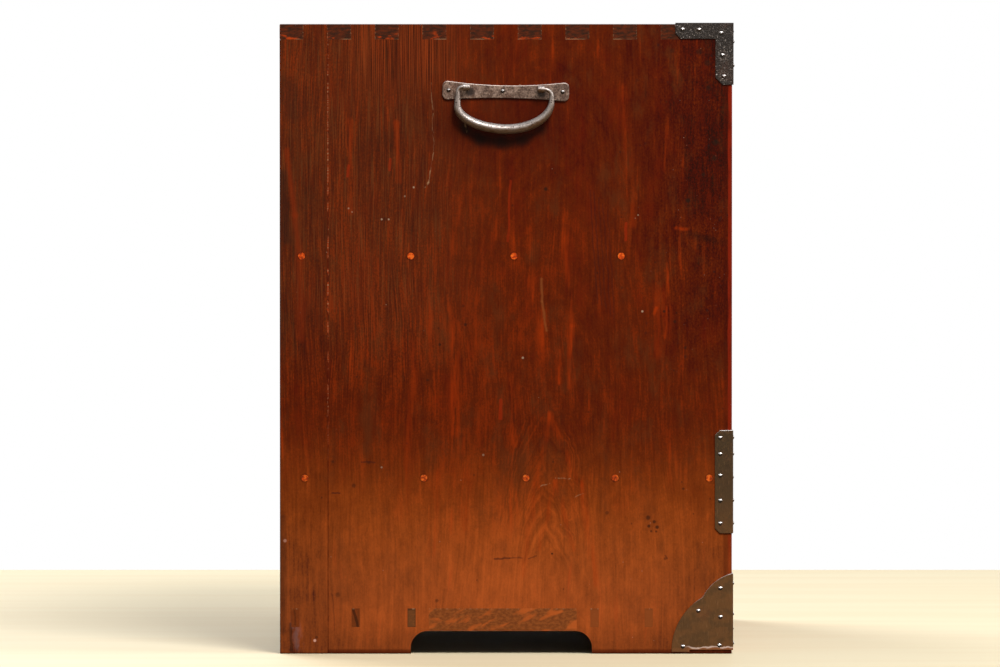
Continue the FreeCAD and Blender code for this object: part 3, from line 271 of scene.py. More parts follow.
class Finish:
    """One material or world being built: its node tree, its colour, and ways to add to them."""

    def __init__(self, name, blocks="materials"):
        self.block = getattr(bpy.data, blocks).new(name)
        self.block.use_nodes = True
        self.tree = self.block.node_tree
        self.tree.nodes.clear()
        self.colour = None

    def node(self, kind, settings=None, inputs=(), output=0):
        """Adds a node: settings first, then its sockets' values or links. Returns one output."""
        made = self.tree.nodes.new(kind)
        for key, value in (settings or {}).items():
            if key == "stops":
                elements = made.color_ramp.elements
                while len(elements) < len(value):
                    elements.new(1.0)
                for element, (position, colour) in zip(elements, value):
                    element.position = position
                    element.color = (*colour, 1.0)
            else:
                setattr(made, key, value)
        pairs = inputs.items() if isinstance(inputs, dict) else enumerate(inputs)
        for key, value in pairs:
            socket = made.inputs[key]
            if isinstance(value, Value):
                self.tree.links.new(value.socket, socket)
            elif socket.type == "RGBA":
                socket.default_value = (*value, 1.0)
            else:
                socket.default_value = value
        return Value(self, made.outputs[output]) if made.outputs else None

    def vector_maths(self, operation, inputs, output=0):
        """One Vector Math node's output."""
        return self.node("ShaderNodeVectorMath", {"operation": operation}, inputs, output)

    def point(self):
        """The place on the object, in millimetres."""
        place = self.node("ShaderNodeTexCoord", output="Object")
        return self.vector_maths("SCALE", {0: place, "Scale": 1000.0})

    def facing(self):
        """The way the surface faces, in the object's frame."""
        return self.node("ShaderNodeTexCoord", output="Normal")

    def split(self, vector):
        """A vector's three numbers."""
        made = self.node("ShaderNodeSeparateXYZ", inputs=[vector]).socket.node
        return [Value(self, socket) for socket in made.outputs]

    def rays(self, *kinds):
        """1 for a ray of each kind, 0 for any other."""
        made = self.node("ShaderNodeLightPath").socket.node
        return [Value(self, made.outputs[f"Is {kind} Ray"]) for kind in kinds]

    def vector(self, x, y, z):
        """A vector of three numbers."""
        return self.node("ShaderNodeCombineXYZ", inputs=[x, y, z])

    def scaled(self, vector, x, y, z):
        """A vector stretched by a factor along each axis."""
        return self.vector_maths("MULTIPLY", [vector, (x, y, z)])

    def noise(self, vector, scale, detail=2.0, rough=0.5, bend=0.0):
        """Soft random values about 0.5, scale of them to a millimetre.

        scale may be three numbers, one for each axis.
        """
        if isinstance(scale, tuple):
            vector, scale = self.scaled(vector, *scale), 1.0
        inputs = {"Vector": vector, "Scale": scale, "Detail": detail}
        inputs.update({"Roughness": rough, "Distortion": bend})
        return self.node("ShaderNodeTexNoise", {"noise_dimensions": "3D"}, inputs)

    def noise_along(self, value, scale, detail=2.0, rough=0.5):
        """Soft random values along one number."""
        inputs = {"W": value, "Scale": scale, "Detail": detail, "Roughness": rough}
        return self.node("ShaderNodeTexNoise", {"noise_dimensions": "1D"}, inputs)

    def cells(self, vector, scale, feature="F1"):
        """Distance from the nearest of scattered points, scale of them to a millimetre."""
        inputs = {"Vector": vector, "Scale": scale}
        return self.node("ShaderNodeTexVoronoi", {"feature": feature}, inputs)

    def mix(self, share, first, second):
        """first where share is 0 and second where it is 1."""
        settings = {"data_type": "RGBA", "blend_type": "MIX"}
        return self.node("ShaderNodeMix", settings, {0: share, 6: first, 7: second}, 2)

    def lay(self, share, colour):
        """Lays a colour over the finish's own where share is 1."""
        self.colour = self.mix(share, self.colour, colour)

    def bump(self, height, depth, strength=1.0):
        """Normals of a surface whose height runs over depth millimetres."""
        inputs = {"Height": height, "Distance": depth * MM, "Strength": strength}
        return self.node("ShaderNodeBump", inputs=inputs)

    def stroke(self, place, start, end, width, core=0.4):
        """1 on a line across a side's face between two (y, z) places, 0 beyond width.

        The distance is from the point to the nearest place on the line: the point's share of
        the way along is held between 0 and 1. core is the share of the width that is full.
        """
        first = (0.0, *start)
        run = (0.0, end[0] - start[0], end[1] - start[1])
        length = run[1] ** 2 + run[2] ** 2
        away = self.vector_maths("SUBTRACT", [place, first])
        share = self.vector_maths("DOT_PRODUCT", [away, run], "Value") / length
        nearest = self.vector_maths("SCALE", {0: run, "Scale": share.most(0.0).least(1.0)})
        distance = self.vector_maths("DISTANCE", [away, nearest], "Value")
        return distance.rise(width, width * core)

    def spot(self, place, middle, radius, core=0.4):
        """1 at a (y, z) place on a side's face, 0 beyond radius."""
        away = self.vector_maths("DISTANCE", [place, (0.0, *middle)], "Value")
        return away.rise(radius, radius * core)

    def background(self, colour, strength):
        """Light of one colour from all round."""
        return self.node("ShaderNodeBackground", inputs={"Color": colour, "Strength": strength})

    def surface(self, roughness, normal=None, metal=0.0, specular=0.5):
        """Ends the material in one shader; metal and specular are the same all over."""
        inputs = {"Base Color": self.colour, "Roughness": roughness}
        inputs.update({"Metallic": metal, "Specular IOR Level": specular})
        if normal is not None:
            inputs["Normal"] = normal
        shader = self.node("ShaderNodeBsdfPrincipled", inputs=inputs)
        self.node("ShaderNodeOutputMaterial", inputs=[shader])
        return self.block


# ---- Wood ------------------------------------------------------------------------------
@dataclass
class Board:
    """How a board was sawn: which way its grain runs and where the tree's pith was.

    lie names the object axes across the grain, through the thickness and along the grain.
    pith is where the pith is across and through, in millimetres from the origin, at height or
    length 0; lean and taper move it per millimetre along the grain. figure is how strongly its
    rings show. bare names the ways its unlacquered faces look, such as "+Z-Y". Where several
    boards lie edge to edge, splits lists (place across, the tree's shift for the next board).
    """

    lie: str
    pith: tuple
    lean: float = 0.0
    taper: float = 0.0
    seed: float = 0.0
    bare: str = ""
    figure: float = 0.9
    splits: tuple = ()

    def axis(self, place):
        """The number of the axis across the grain, through the thickness or along the grain."""
        return "XYZ".index(self.lie[place])


def grain(finish, board, spacing):
    """Ring, fibre, line, streak and cloud values of a board, each random about 0.5.

    Rings are random values along the distance from the pith, sqrt(across^2 + through^2), with
    across and through shifted by slow noise. The others are noise stretched along the grain,
    from fibres a millimetre wide to clouds of several centimetres.
    """
    xyz = finish.split(finish.point())
    across, through, along = (xyz[board.axis(place)] for place in range(3))
    shift = 0.0
    for split, step in board.splits:
        shift = (across - split).rise(-0.05, 0.05) * step + shift
    across = across + shift
    place = finish.vector(across + board.seed, through, along)
    sway = finish.noise(place, (0.012, 0.012, 0.004), 2.0)
    a = across - board.pith[0] - along * board.lean + (sway - 0.5) * 22.0
    b = through - board.pith[1] - along * board.taper + (sway - 0.5) * 14.0
    radius = (a * a + b * b) ** 0.5
    rings = finish.noise_along(radius + board.seed, 1.0 / spacing, 2.0, 0.6)
    lean = finish.vector(across + board.seed + (sway - 0.5) * 34.0, through, along)
    fibres = finish.noise(lean, (0.95, 0.95, 0.03), 2.0, 0.6)
    lines = finish.noise(lean, (0.34, 0.34, 0.02), 3.0, 0.55)
    streaks = finish.noise(lean, (0.12, 0.12, 0.012), 3.0, 0.55)
    clouds = finish.noise(place, (0.024, 0.024, 0.013), 3.0, 0.6)
    return rings, fibres, lines, streaks, clouds


def facing_share(finish, axis, way):
    """1 where the surface faces that way along an axis, 0 elsewhere."""
    return (finish.split(finish.facing())["XYZ".index(axis)] * way).rise(0.6, 0.8)


def end_share(finish, axis=0):
    """1 where the surface faces either way along an axis, given by its number."""
    return abs(finish.split(finish.facing())[axis]).rise(0.6, 0.85)


def lacquered(name, board, details=None, tone_shift=None):
    """Reddish-brown lacquer over visible grain; bare wood on the board's hidden faces.

    details(finish) may lay marks of the board's own.
    The last argument, given finish, fibres and pores, returns how far the tone shifts towards
    orange, or below 0 towards dark.
    """
    wood = bpy.context.scene.tansu_wood
    finish = Finish(name)
    rings, fibres, lines, streaks, clouds = grain(finish, board, wood.ring_spacing / MM)
    place = finish.point()
    pores = finish.noise(place, (0.6, 0.6, 0.45), 3.0, 0.7)
    mottle = finish.noise(place, (0.09, 0.09, 0.06), 4.0, 0.62, 0.5)
    tone = (
        (rings - 0.5) * board.figure
        + (fibres - 0.5) * 0.85
        + (lines - 0.5) * 0.65
        + (streaks - 0.5) * 0.6
        + (clouds - 0.5) * 0.85
        + (mottle - 0.5) * 0.85
        + (pores - 0.5) * 1.1
        + 0.5
    )
    if tone_shift:
        tone = tone + tone_shift(finish, fibres, pores)
    tone = tone * 0.7 + 0.3
    high = [(0.0, wood.black), (0.3, wood.dark), (0.65, wood.brown), (1.0, wood.orange)]
    low = [(0.0, wood.dark), (0.3, wood.low_dark), (0.65, wood.low_brown), (1.0, wood.low_orange)]
    _, y, z = finish.split(place)
    # Lighter and more orange towards the floor.
    foot = (z + (clouds - 0.5) * 60.0 - abs(y - MIDDLE) * 0.08).rise(203.0, 54.0)
    high, low = (finish.node("ShaderNodeValToRGB", {"stops": s}, [tone]) for s in (high, low))
    finish.colour = finish.mix(foot, high, low)
    hue = finish.noise(place, (0.05, 0.05, 0.022), 5.0, 0.68)
    finish.lay(hue.rise(0.5, 0.7) * (1 - foot * 0.6) * 0.45, wood.dusty)
    finish.lay(hue.rise(0.5, 0.3) * (1 - foot) * 0.35, wood.warm)
    shine = (streaks * 0.6 + lines * 0.4).rise(0.56, 0.68) * clouds.rise(0.4, 0.6)
    finish.lay(shine * 0.28, wood.glow)
    ends = finish.mix(streaks.rise(0.45, 0.65) * 0.5, wood.end_grain, wood.orange)
    finish.lay(end_share(finish, board.axis(2)) * 0.75, ends)
    if details:
        details(finish)
    gloss = 0.3 + clouds * 0.1 + fibres * 0.06
    if board.bare:
        inside = 0.0
        for sign, axis in zip(board.bare[::2], board.bare[1::2]):
            way = 1.0 if sign == "+" else -1.0
            inside = facing_share(finish, axis, way) + inside
        inside = inside * y.rise(FACE + 0.5, FACE + 3.0)
        finish.lay(inside, finish.mix(rings.rise(0.38, 0.66), wood.bare_dark, wood.bare))
        gloss = gloss + inside * 0.3
    normal = finish.bump(fibres * 0.5 + lines * 0.5 + rings * 0.4, 0.1, 0.6)
    return finish.surface(gloss, normal, specular=0.045)


def bare_wood(name, board):
    """Unlacquered wood of drawer boxes, back and shelf, browned by age."""
    wood = bpy.context.scene.tansu_wood
    finish = Finish(name)
    rings, fibres, lines, streaks, clouds = grain(finish, board, wood.ring_spacing / MM * 1.4)
    tone = rings.rise(0.36, 0.66) * 0.5 + fibres.rise(0.32, 0.7) * 0.3
    tone = tone + clouds.rise(0.3, 0.7) * 0.2
    finish.colour = finish.mix(tone, wood.bare_dark, wood.bare)
    finish.lay(streaks.rise(0.4, 0.68) * 0.35, linear(176, 134, 90))
    across = finish.split(finish.point())[board.axis(0)]
    for split, _ in board.splits:
        finish.lay((across - split).near(0.0, 1.1) * 0.85, linear(36, 22, 13))
    roughness = 0.62 + fibres * 0.12
    normal = finish.bump(fibres + lines + rings, 0.1, 0.5)
    return finish.surface(roughness, normal, specular=0.3)


def peg_wood():
    """End grain of the pegs: orange, in bright and dark patches, and waxed over low down."""
    wood = bpy.context.scene.tansu_wood
    finish = Finish("peg_wood")
    place = finish.point()
    z = finish.split(place)[2]
    speckle = finish.noise(place, 0.9, 3.0, 0.6).rise(0.35, 0.7)
    each = finish.noise(place, (0.02, 0.02, 0.02), 1.0).rise(0.35, 0.65)
    finish.colour = finish.mix(speckle * 0.35 + each * 0.2, wood.peg, linear(158, 44, 10))
    waxed = finish.noise(place, (0.3, 0.3, 0.55), 3.0, 0.6).rise(0.4, 0.6)
    low = z.rise(260.0, 200.0)
    finish.lay(waxed * (0.2 + low * 0.5), linear(112, 42, 12))
    finish.lay(low * 0.3, linear(150, 62, 20))
    patch = finish.noise(place, (0.3, 0.3, 0.3), 2.0, 0.5)
    finish.lay(patch.rise(0.5, 0.62) * 0.6, linear(242, 116, 36))
    finish.lay(patch.rise(0.47, 0.37) * 0.7, linear(96, 34, 10))
    return finish.surface(0.4, finish.bump(speckle, 0.1), specular=0.1)


def front_arris(finish):
    """Thin red along a side's front arris, partly painted highlight and partly worn lacquer, with
    a dark line of old wax beside it and painted shade along the floor.
    """
    wood = bpy.context.scene.tansu_wood
    place = finish.point()
    x, y, z = finish.split(place)
    outer = abs(x).rise(-LEFT - 6.0, -LEFT - 1.5)
    wander = finish.noise(place, (0.0, 0.0, 0.03), 3.0) * 2.4
    rub = finish.noise(place, (0.3, 0.3, 0.05), 3.0).rise(0.34, 0.56)
    edge = y - wander - FRONT
    wax = edge.near(4.2, 3.2)
    finish.lay(wax * 0.45, wood.dark)
    # Painted highlight and worn lacquer along the arris, rubbed uneven and fainter low down.
    worn = edge.rise(2.9, 1.9) * outer * (0.45 + rub * 0.5) * (0.35 + z.rise(70.0, 130.0) * 0.65)
    # Painted shade along the floor.
    finish.lay(z.rise(5.0, 2.0) * 0.7, wood.dark)
    finish.lay(worn * z.rise(2.0, 6.0), wood.arris_highlight_and_wear)


# Marks on the left side, in millimetres behind the case's middle and above the floor.
# Places where the lacquer is darker, or paler below 0: behind, reach, z, reach, depth.
CLOUDED = (
    (184, 36, 350, 125, 0.3), (96, 60, 462, 110, 0.2), (-45, 34, 490, 50, 0.17),
    (-75, 34, 262, 46, 0.12), (-40, 30, 224, 34, -0.13), (-4, 36, 48, 46, -0.2),
    (-145, 40, 98, 40, -0.12),
)
# Bright bands of the grain: (behind, z) of the start and of the end, width, strength.
BANDS = (
    (-51.5, 368, -58.6, 290, 3.6, 0.3), (-58.6, 290, -56.5, 236, 4, 0.5),
    (-46.4, 268, -47.6, 240, 3.4, 0.7), (-24, 330, -34, 262, 6, 0.2),
    (-142.5, 345, -143.8, 306, 2, 0.6), (-143.8, 306, -142.5, 280, 4, 0.6),
    (-136, 318, -135, 268, 13, 0.25), (-133.5, 306, -129, 297, 2.2, 0.6),
    (-150, 377, -163, 375.5, 2.6, 0.5), (45, 292, 46, 196, 7, 0.4), (36, 190, 36, 110, 5, 0.3),
    (-4, 246, -9, 186, 5, 0.45), (138, 470, 137, 392, 6, 0.3), (97, 470, 95, 418, 4, 0.4),
    (-38, 212, -27, 150, 5, 0.3), (-38, 212, -66, 150, 5, 0.4), (-66, 150, -80, 62, 6, 0.32),
    (-27, 150, -14, 70, 6, 0.22), (-44, 152, -29, 92, 4, 0.3), (-44, 152, -60, 92, 4, 0.3),
    (80, 250, 92, 120, 8, 0.22), (60, 160, 66, 90, 7, 0.22), (-104, 500, -112, 380, 6, 0.22),
)
# Thin red lines of worn lacquer.
RED_LINES = (
    (-3.5, 419, -2, 365, 1.5, 0.36), (-106.5, 381, -106, 366, 1.7, 0.5),
    (139, 432, 139.5, 422, 1.6, 0.5), (163, 440, 162.5, 431, 1.8, 0.5),
    (102.5, 438, 103, 428, 1.6, 0.45), (4.4, 224, 4.4, 208, 2.2, 0.5),
)
# Painted shadow under the carrying bail, and old wax under the corner iron.
BAIL_SHADOW_AND_WAX = (
    (42.5, 480, 35.4, 464, 7, 0.65), (35.4, 464, 23, 455.5, 8.5, 0.68),
    (23, 455.5, 4, 452.5, 10, 0.75), (4, 452.5, -14, 454.5, 10, 0.72),
    (-14, 454.5, -31, 464, 8, 0.6), (-163, 371.5, -178, 367, 5, 0.4),
    (-178, 367, -194, 364, 5, 0.3),
)
# Old nail holes, pin knots and dark spots: (behind, z), radius, strength.
HOLES = (
    (-35.3, 411.3, 2.2, 0.75), (58.4, 273.7, 1.8, 0.7), (-161, 401.1, 2.8, 0.85),
    (-132.2, 346.4, 1.3, 0.5), (-140, 303.1, 1.7, 0.75), (-149.4, 294.1, 2, 0.6),
    (-158.7, 271, 2, 0.6), (-185.3, 452.7, 3.6, 0.7), (-184, 438.5, 3.4, 0.7),
    (-174.7, 424, 2.6, 0.6), (-179.1, 500.6, 3.4, 0.5), (-178.2, 522.7, 3.8, 0.6),
    (-170.8, 532.6, 3.8, 0.55), (-147, 533.7, 2.8, 0.4), (35.9, 291.4, 2, 0.7),
    (132, 245.1, 1.4, 0.6), (69.3, 242.3, 1.6, 0.6), (38, 307.9, 1.8, 0.35),
    (106.7, 384.5, 2.6, 0.4), (-40.9, 88.5, 1.3, 0.8), (-125.9, 120.4, 2.8, 0.65),
    (-131.3, 116.8, 2, 0.7), (-133.9, 112, 2.2, 0.75), (-126.5, 113, 2, 0.75),
    (-128.6, 108.4, 1.4, 0.65), (-133, 108.2, 1.4, 0.65), (121.3, 169.1, 2, 0.4),
    (134.6, 148.7, 2.6, 0.5), (153.2, 170, 1.8, 0.5), (148.8, 52.1, 3, 0.4),
    (61.1, 46.8, 2.2, 0.5), (-89.6, 124.8, 2.4, 0.45), (-157, 146.1, 1.6, 0.6),
    (-141, 84, 1.8, 0.5),
)
# Curved dark lines of the grain near the front, and shallow dents.
DENTS = (
    (-74.5, 410, -80.7, 311, 0.8, 0.4), (-78, 408, -84.5, 309, 0.8, 0.4),
    (-82, 404, -88.5, 306, 0.8, 0.35), (-86, 398, -92.5, 300, 0.8, 0.35),
    (-90, 392, -96, 296, 0.8, 0.3), (10, 84, -3, 84.8, 1.1, 0.6), (-3, 84.8, -14, 85, 0.9, 0.4),
    (-20, 84, -27, 86.5, 0.9, 0.4), (128, 170, 116, 169, 1, 0.5), (154, 142.5, 147, 142, 1, 0.6),
    (-141, 87, -143, 84, 1, 0.5), (153.5, 52, 151.5, 20, 0.7, 0.35),
)
# Filled scratches.
PALE_LINES = (
    (66, 505, 64.6, 478, 0.75, 0.24), (64.6, 478, 64, 446, 0.75, 0.18),
    (64, 446, 66.6, 427, 0.8, 0.32), (66.6, 427, 68.4, 417, 0.9, 0.42),
    (68.4, 417, 72, 413, 1.3, 0.5), (-44.4, 154.9, -56.8, 155.6, 0.6, 0.4),
    (-30.2, 148.7, -39.1, 150.5, 0.6, 0.4), (-61.2, 139, -68.3, 141.5, 0.7, 0.4),
    (36, 471, 35, 462, 0.8, 0.4),
)
# A healed crack in the middle.
HEALED_CRACK = ((-31.5, 332, -32, 312, 1.9, 0.5), (-32, 312, -36, 286, 1.9, 0.5))
# Pale chips.
CHIPS = (
    (81.5, 412.8, 1.2, 0.6), (89.4, 404.9, 1.1, 0.35), (139.1, 394.2, 1.1, 0.4),
    (136, 391, 0.9, 0.35), (109.8, 384.5, 1.2, 0.6), (103.6, 384.5, 1.1, 0.6),
    (110, 165, 1.2, 0.4), (20, 176, 1.4, 0.35), (-12.5, 503.2, 1, 0.35), (-120.7, 303.1, 1.3, 0.7),
    (-15, 262, 1.4, 0.6), (-116.9, 388.3, 1, 0.4),
)
# Red lacquer along the rear board's peg, and its dark stains.
REAR_RED = (
    (194, 446, 186.5, 388, 4, 0.5), (186.5, 388, 182.5, 350, 5, 0.45),
    (182.5, 350, 181.5, 280, 7, 0.35),
)
REAR_DARK = (
    (198, 425, 194, 366, 6, 0.5), (190.5, 26, 190, 3, 2.4, 0.6), (197, 120, 198, 20, 5, 0.4),
    (194, 500, 186, 480, 16, 0.4),
)


def side_place(finish):
    """Distance behind the case's middle and height, as (0, y, z), and a mask of the outer face."""
    x, y, z = finish.split(finish.point())
    return finish.vector(0.0, y - MIDDLE, z), x.rise(LEFT + 1.5, LEFT + 0.6)


def mark_strokes(finish, marks, tint, mask=1.0, core=0.4):
    """Lays wavering lines on a side: each is a start, an end, a width and a strength."""
    flat, seen = side_place(finish)
    _, behind, z = finish.split(flat)
    wander = finish.noise(flat, (0.12, 0.12, 0.07), 2.0) * 3.4 - 1.7
    flat = finish.vector(0.0, behind + wander, z + wander)
    for *ends, width, strength in marks:
        line = finish.stroke(flat, ends[:2], ends[2:], width, core)
        finish.lay(line * seen * mask * strength, tint)


def mark_spots(finish, marks, tint, mask=1.0):
    """Lays spots of one colour on a side: each is a place, a radius and a strength."""
    flat, seen = side_place(finish)
    for behind, z, radius, strength in marks:
        spot = finish.spot(flat, (behind, z), radius) * seen * mask * strength
        finish.lay(spot, tint)


def peg_rims(finish, behinds, z):
    """Uneven dark wax in the wood round a row of pegs at one height."""
    uneven = finish.noise(finish.point(), 0.35, 2.0).rise(0.36, 0.56)
    rims = [(behind, z, 4.9, 0.75) for behind in behinds]
    mark_spots(finish, rims, linear(36, 13, 6), uneven)


def side_tone_shift(finish, fibres, pores):
    """Shifts of tone over the left side.

    It is darker towards its upright edges and the floor, and most beside the front
    corner; a few more places are clouded. It is paler low in the middle, and ribbed by
    its fibres at the upper rear. Low in the middle its rings come to the surface as nested
    pointed arches: random values along z + 0.9 |b| + 0.05 b^2, where b is the distance from
    the arches' swaying middle.
    """
    flat = side_place(finish)[0]
    _, behind, z = finish.split(flat)
    sway = finish.noise(flat, (0.05, 0.05, 0.03), 2.0) * 22.0
    from_middle = behind + 46.0 - sway
    flame = z + abs(from_middle) * 0.9 + from_middle * from_middle * 0.05
    flames = finish.noise_along(flame + sway, 0.11, 2.0, 0.5) - 0.5
    figured = abs(from_middle).rise(46.0, 20.0) * z.rise(60.0, 110.0) * z.rise(222.0, 190.0)
    uneven = finish.noise(flat, (0.02, 0.02, 0.014), 3.0, 0.6) * 60.0 - 30.0
    across = behind + uneven
    ribbed = across.rise(30.0, 100.0) * z.rise(190.0, 300.0)
    pale_patch = behind.near(24.0, 66.0) * z.near(260.0, 170.0)
    # Paler low in the middle.
    rubbed = abs(across - 12.0).rise(150.0, 10.0) * (z + uneven).rise(170.0, 70.0)
    edges = abs(across).rise(105.0, 205.0) * z.rise(190.0, 110.0)
    floor = z.rise(34.0, 4.0)
    corner = across.rise(-105.0, -185.0) * z.rise(225.0, 330.0)
    above = across.rise(-20.0, -110.0) * z.rise(380.0, 480.0)
    high = z.rise(330.0, 430.0)
    texture = (fibres - 0.5) * (ribbed * 2.0 + corner * 0.5 - 0.35)
    texture = texture + (pores - 0.5) * (ribbed * 1.2 + corner * 1.3 - 0.3)
    blots = finish.noise(flat, (0.09, 0.09, 0.055), 3.0, 0.6) - 0.5
    texture = texture + blots * (z.rise(190.0, 110.0) * 0.75 + corner * 0.9)
    lighter = pale_patch * 0.1 + rubbed * 0.24
    darker = edges * 0.34 + floor * 0.3 + corner * 0.42 + above * 0.12 + high * 0.08
    darker = darker + z.near(70.0, 40.0) * 0.1
    for middle, reach, height, rise, depth in CLOUDED:
        darker = darker + behind.near(middle, reach) * z.near(height, rise) * depth
    return texture + lighter - darker + flames * figured * 0.95


def side_dulled(finish):
    """Dulls the lacquer over the upper rear half of the left side, and lays dust and specks."""
    flat, seen = side_place(finish)
    _, behind, z = finish.split(flat)
    dulled = behind.rise(-10.0, 100.0) * z.rise(220.0, 330.0)
    finish.lay(dulled * 0.3, linear(90, 43, 19))
    ribs = finish.noise(flat, (0.0, 0.9, 0.02), 2.0).rise(0.5, 0.66)
    finish.lay(ribs * dulled * 0.28, linear(114, 66, 32))
    finish.lay(z.rise(150.0, 40.0) * 0.17, linear(104, 62, 48))
    dust = finish.cells(flat, 0.075).rise(0.045, 0.02)
    dust = dust * finish.noise(flat, (0.03, 0.03, 0.03), 1.0).rise(0.48, 0.6)
    finish.lay(dust * seen * 0.4, linear(184, 146, 118))
    corner = behind.rise(-95.0, -150.0) * z.rise(210.0, 300.0)
    bits = finish.cells(flat, 0.17).rise(0.09, 0.04)
    bits = bits * finish.noise(flat, (0.05, 0.05, 0.04), 2.0).rise(0.5, 0.58)
    finish.lay(bits * corner * seen * 0.4, linear(150, 116, 98))
    blots = finish.cells(finish.scaled(flat, 1.0, 1.0, 0.8), 0.1).rise(0.16, 0.07)
    blots = blots * finish.noise(flat, (0.04, 0.04, 0.03), 2.0).rise(0.48, 0.56)
    finish.lay(blots * corner * seen * 0.6, linear(34, 20, 18))
    specks = finish.cells(finish.scaled(flat, 1.0, 1.0, 0.8), 0.05).rise(0.055, 0.03)
    finish.lay(specks * seen * 0.45, linear(34, 18, 12))


def main_board_marks(finish):
    """Marks on the left main board, the stripes under its corner, and its seam and arris."""
    wood = bpy.context.scene.tansu_wood
    side_dulled(finish)
    place = finish.point()
    _, y, z = finish.split(place)
    grainy = finish.noise(place, (0.2, 0.2, 0.02), 3.0, 0.6).rise(0.36, 0.62)
    mark_strokes(finish, BANDS, wood.glow, grainy, 0.0)
    mark_strokes(finish, RED_LINES, linear(150, 38, 8), 1.0)
    # Painted shadow below the carrying bail: a broad soft band, then a darker curve along it.
    under = finish.stroke(side_place(finish)[0], (30.0, 468.0), (-28.0, 468.0), 46.0, 0.2)
    finish.lay(under * 0.42, wood.dark)
    mark_strokes(finish, BAIL_SHADOW_AND_WAX, linear(22, 9, 5), 1.0, 0.1)
    top_lines = finish.noise(place, (1.2, 1.2, 0.012), 2.0).rise(0.4, 0.62)
    stripes = z.rise(480.0, 522.0) * (y - MIDDLE).near(92.0, 66.0)
    finish.lay(stripes * top_lines * 0.55, linear(140, 56, 20))
    finish.lay(stripes * (1 - top_lines) * 0.55, linear(46, 16, 6))
    mark_spots(finish, HOLES, linear(34, 20, 12))
    mark_strokes(finish, DENTS, linear(52, 20, 16), 1.0)
    broken = finish.noise(place, (0.4, 0.4, 0.16), 2.0).rise(0.4, 0.58)
    mark_strokes(finish, PALE_LINES, wood.glue, broken)
    mark_strokes(finish, HEALED_CRACK, linear(138, 76, 36), 1.0, 0.0)
    mark_spots(finish, CHIPS, linear(178, 150, 122))
    gap = (SEAM - y).near(0.4, 1.0) * side_place(finish)[1]
    fine = finish.noise(place, (0.0, 0.0, 0.55), 3.0, 0.7).rise(0.46, 0.62)
    high = z.rise(150.0, 260.0)
    finish.lay(gap * (0.65 - broken * 0.3), wood.dark)
    shown = high * z.near(335.0, 120.0) * 0.4 + high * 0.35
    finish.lay(gap * broken * shown, linear(166, 60, 20))
    finish.lay(gap * fine * broken * high * 0.6, wood.glue)
    peg_rims(finish, (84.1, -7.2, -102.0), UPPER_PEGS)
    peg_rims(finish, (72.6, -17.8, -96.7, -180.0), LOWER_PEGS)
    front_arris(finish)


def rear_board_marks(finish):
    """Marks on the left rear board: its worn foot, red and dark grain and filled nail holes."""
    side_dulled(finish)
    mark_strokes(finish, REAR_RED, linear(126, 40, 10), 1.0, 0.0)
    peg_rims(finish, (180.7,), UPPER_PEGS)
    peg_rims(finish, (178.0,), LOWER_PEGS)
    mark_strokes(finish, REAR_DARK, linear(42, 23, 14), 1.0, 0.2)
    worn = finish.noise(finish.point(), (0.2, 0.2, 0.12), 3.0).rise(0.38, 0.6)
    mark_strokes(finish, [(187, 30, 183, 6, 6, 0.6)], linear(122, 88, 84), worn, 0.0)
    mark_spots(finish, [(167.6, 14.4, 1.8, 0.6)], linear(46, 22, 14))
    spots = [(169.2, 11.5, 1.7, 0.9), (195.5, 100, 2, 0.35)]
    mark_spots(finish, spots, linear(220, 164, 140))


def finger_lines(finish):
    """Dark end grain on the top board's fingers, with bright patches and glue lines below."""
    wood = bpy.context.scene.tansu_wood
    place = finish.point()
    _, y, z = finish.split(place)
    ends = end_share(finish)
    speckle = finish.noise(place, (0.3, 0.16, 0.5), 3.0, 0.6).rise(0.35, 0.68)
    dull = finish.mix(speckle, linear(45, 28, 19), linear(88, 38, 19))
    finish.lay(ends * 0.85, dull)
    patch = finish.noise(place, (0.05, 0.045, 0.14), 4.0, 0.6).rise(0.56, 0.66)
    low = z.rise(TOP_UNDER + 10.0, TOP_UNDER + 3.0)
    finish.lay(patch * low * ends * 0.75, linear(186, 64, 16))
    edge = (y - FRONT).fold(FINGER_PITCH / 2)
    broken = finish.noise(place, (0.06, 0.06, 0.06), 2.0).rise(0.4, 0.6)
    sides = edge.rise(0.8, 0.3) * finish.noise(place, 0.5, 2.0).rise(0.48, 0.64) * 0.35
    under = (z - TOP_UNDER).rise(0.75, 0.3) * broken * y.rise(FRONT + 60.0, FRONT + 90.0) * 0.6
    finish.lay(sides.most(under) * ends, wood.glue)


# The narrow through tenons: behind, colour, its share, and the share of the dark outline.
NARROW_TENONS = (
    (186.4, (126, 56, 20), 0.3, 0.12),
    (133.0, (128, 60, 24), 0.15, 0.12),
    (83.5, (104, 62, 32), 0.85, 0.5),
    (-78.5, (142, 70, 30), 0.6, 0.12),
    (-126.4, (140, 70, 30), 0.6, 0.12),
)


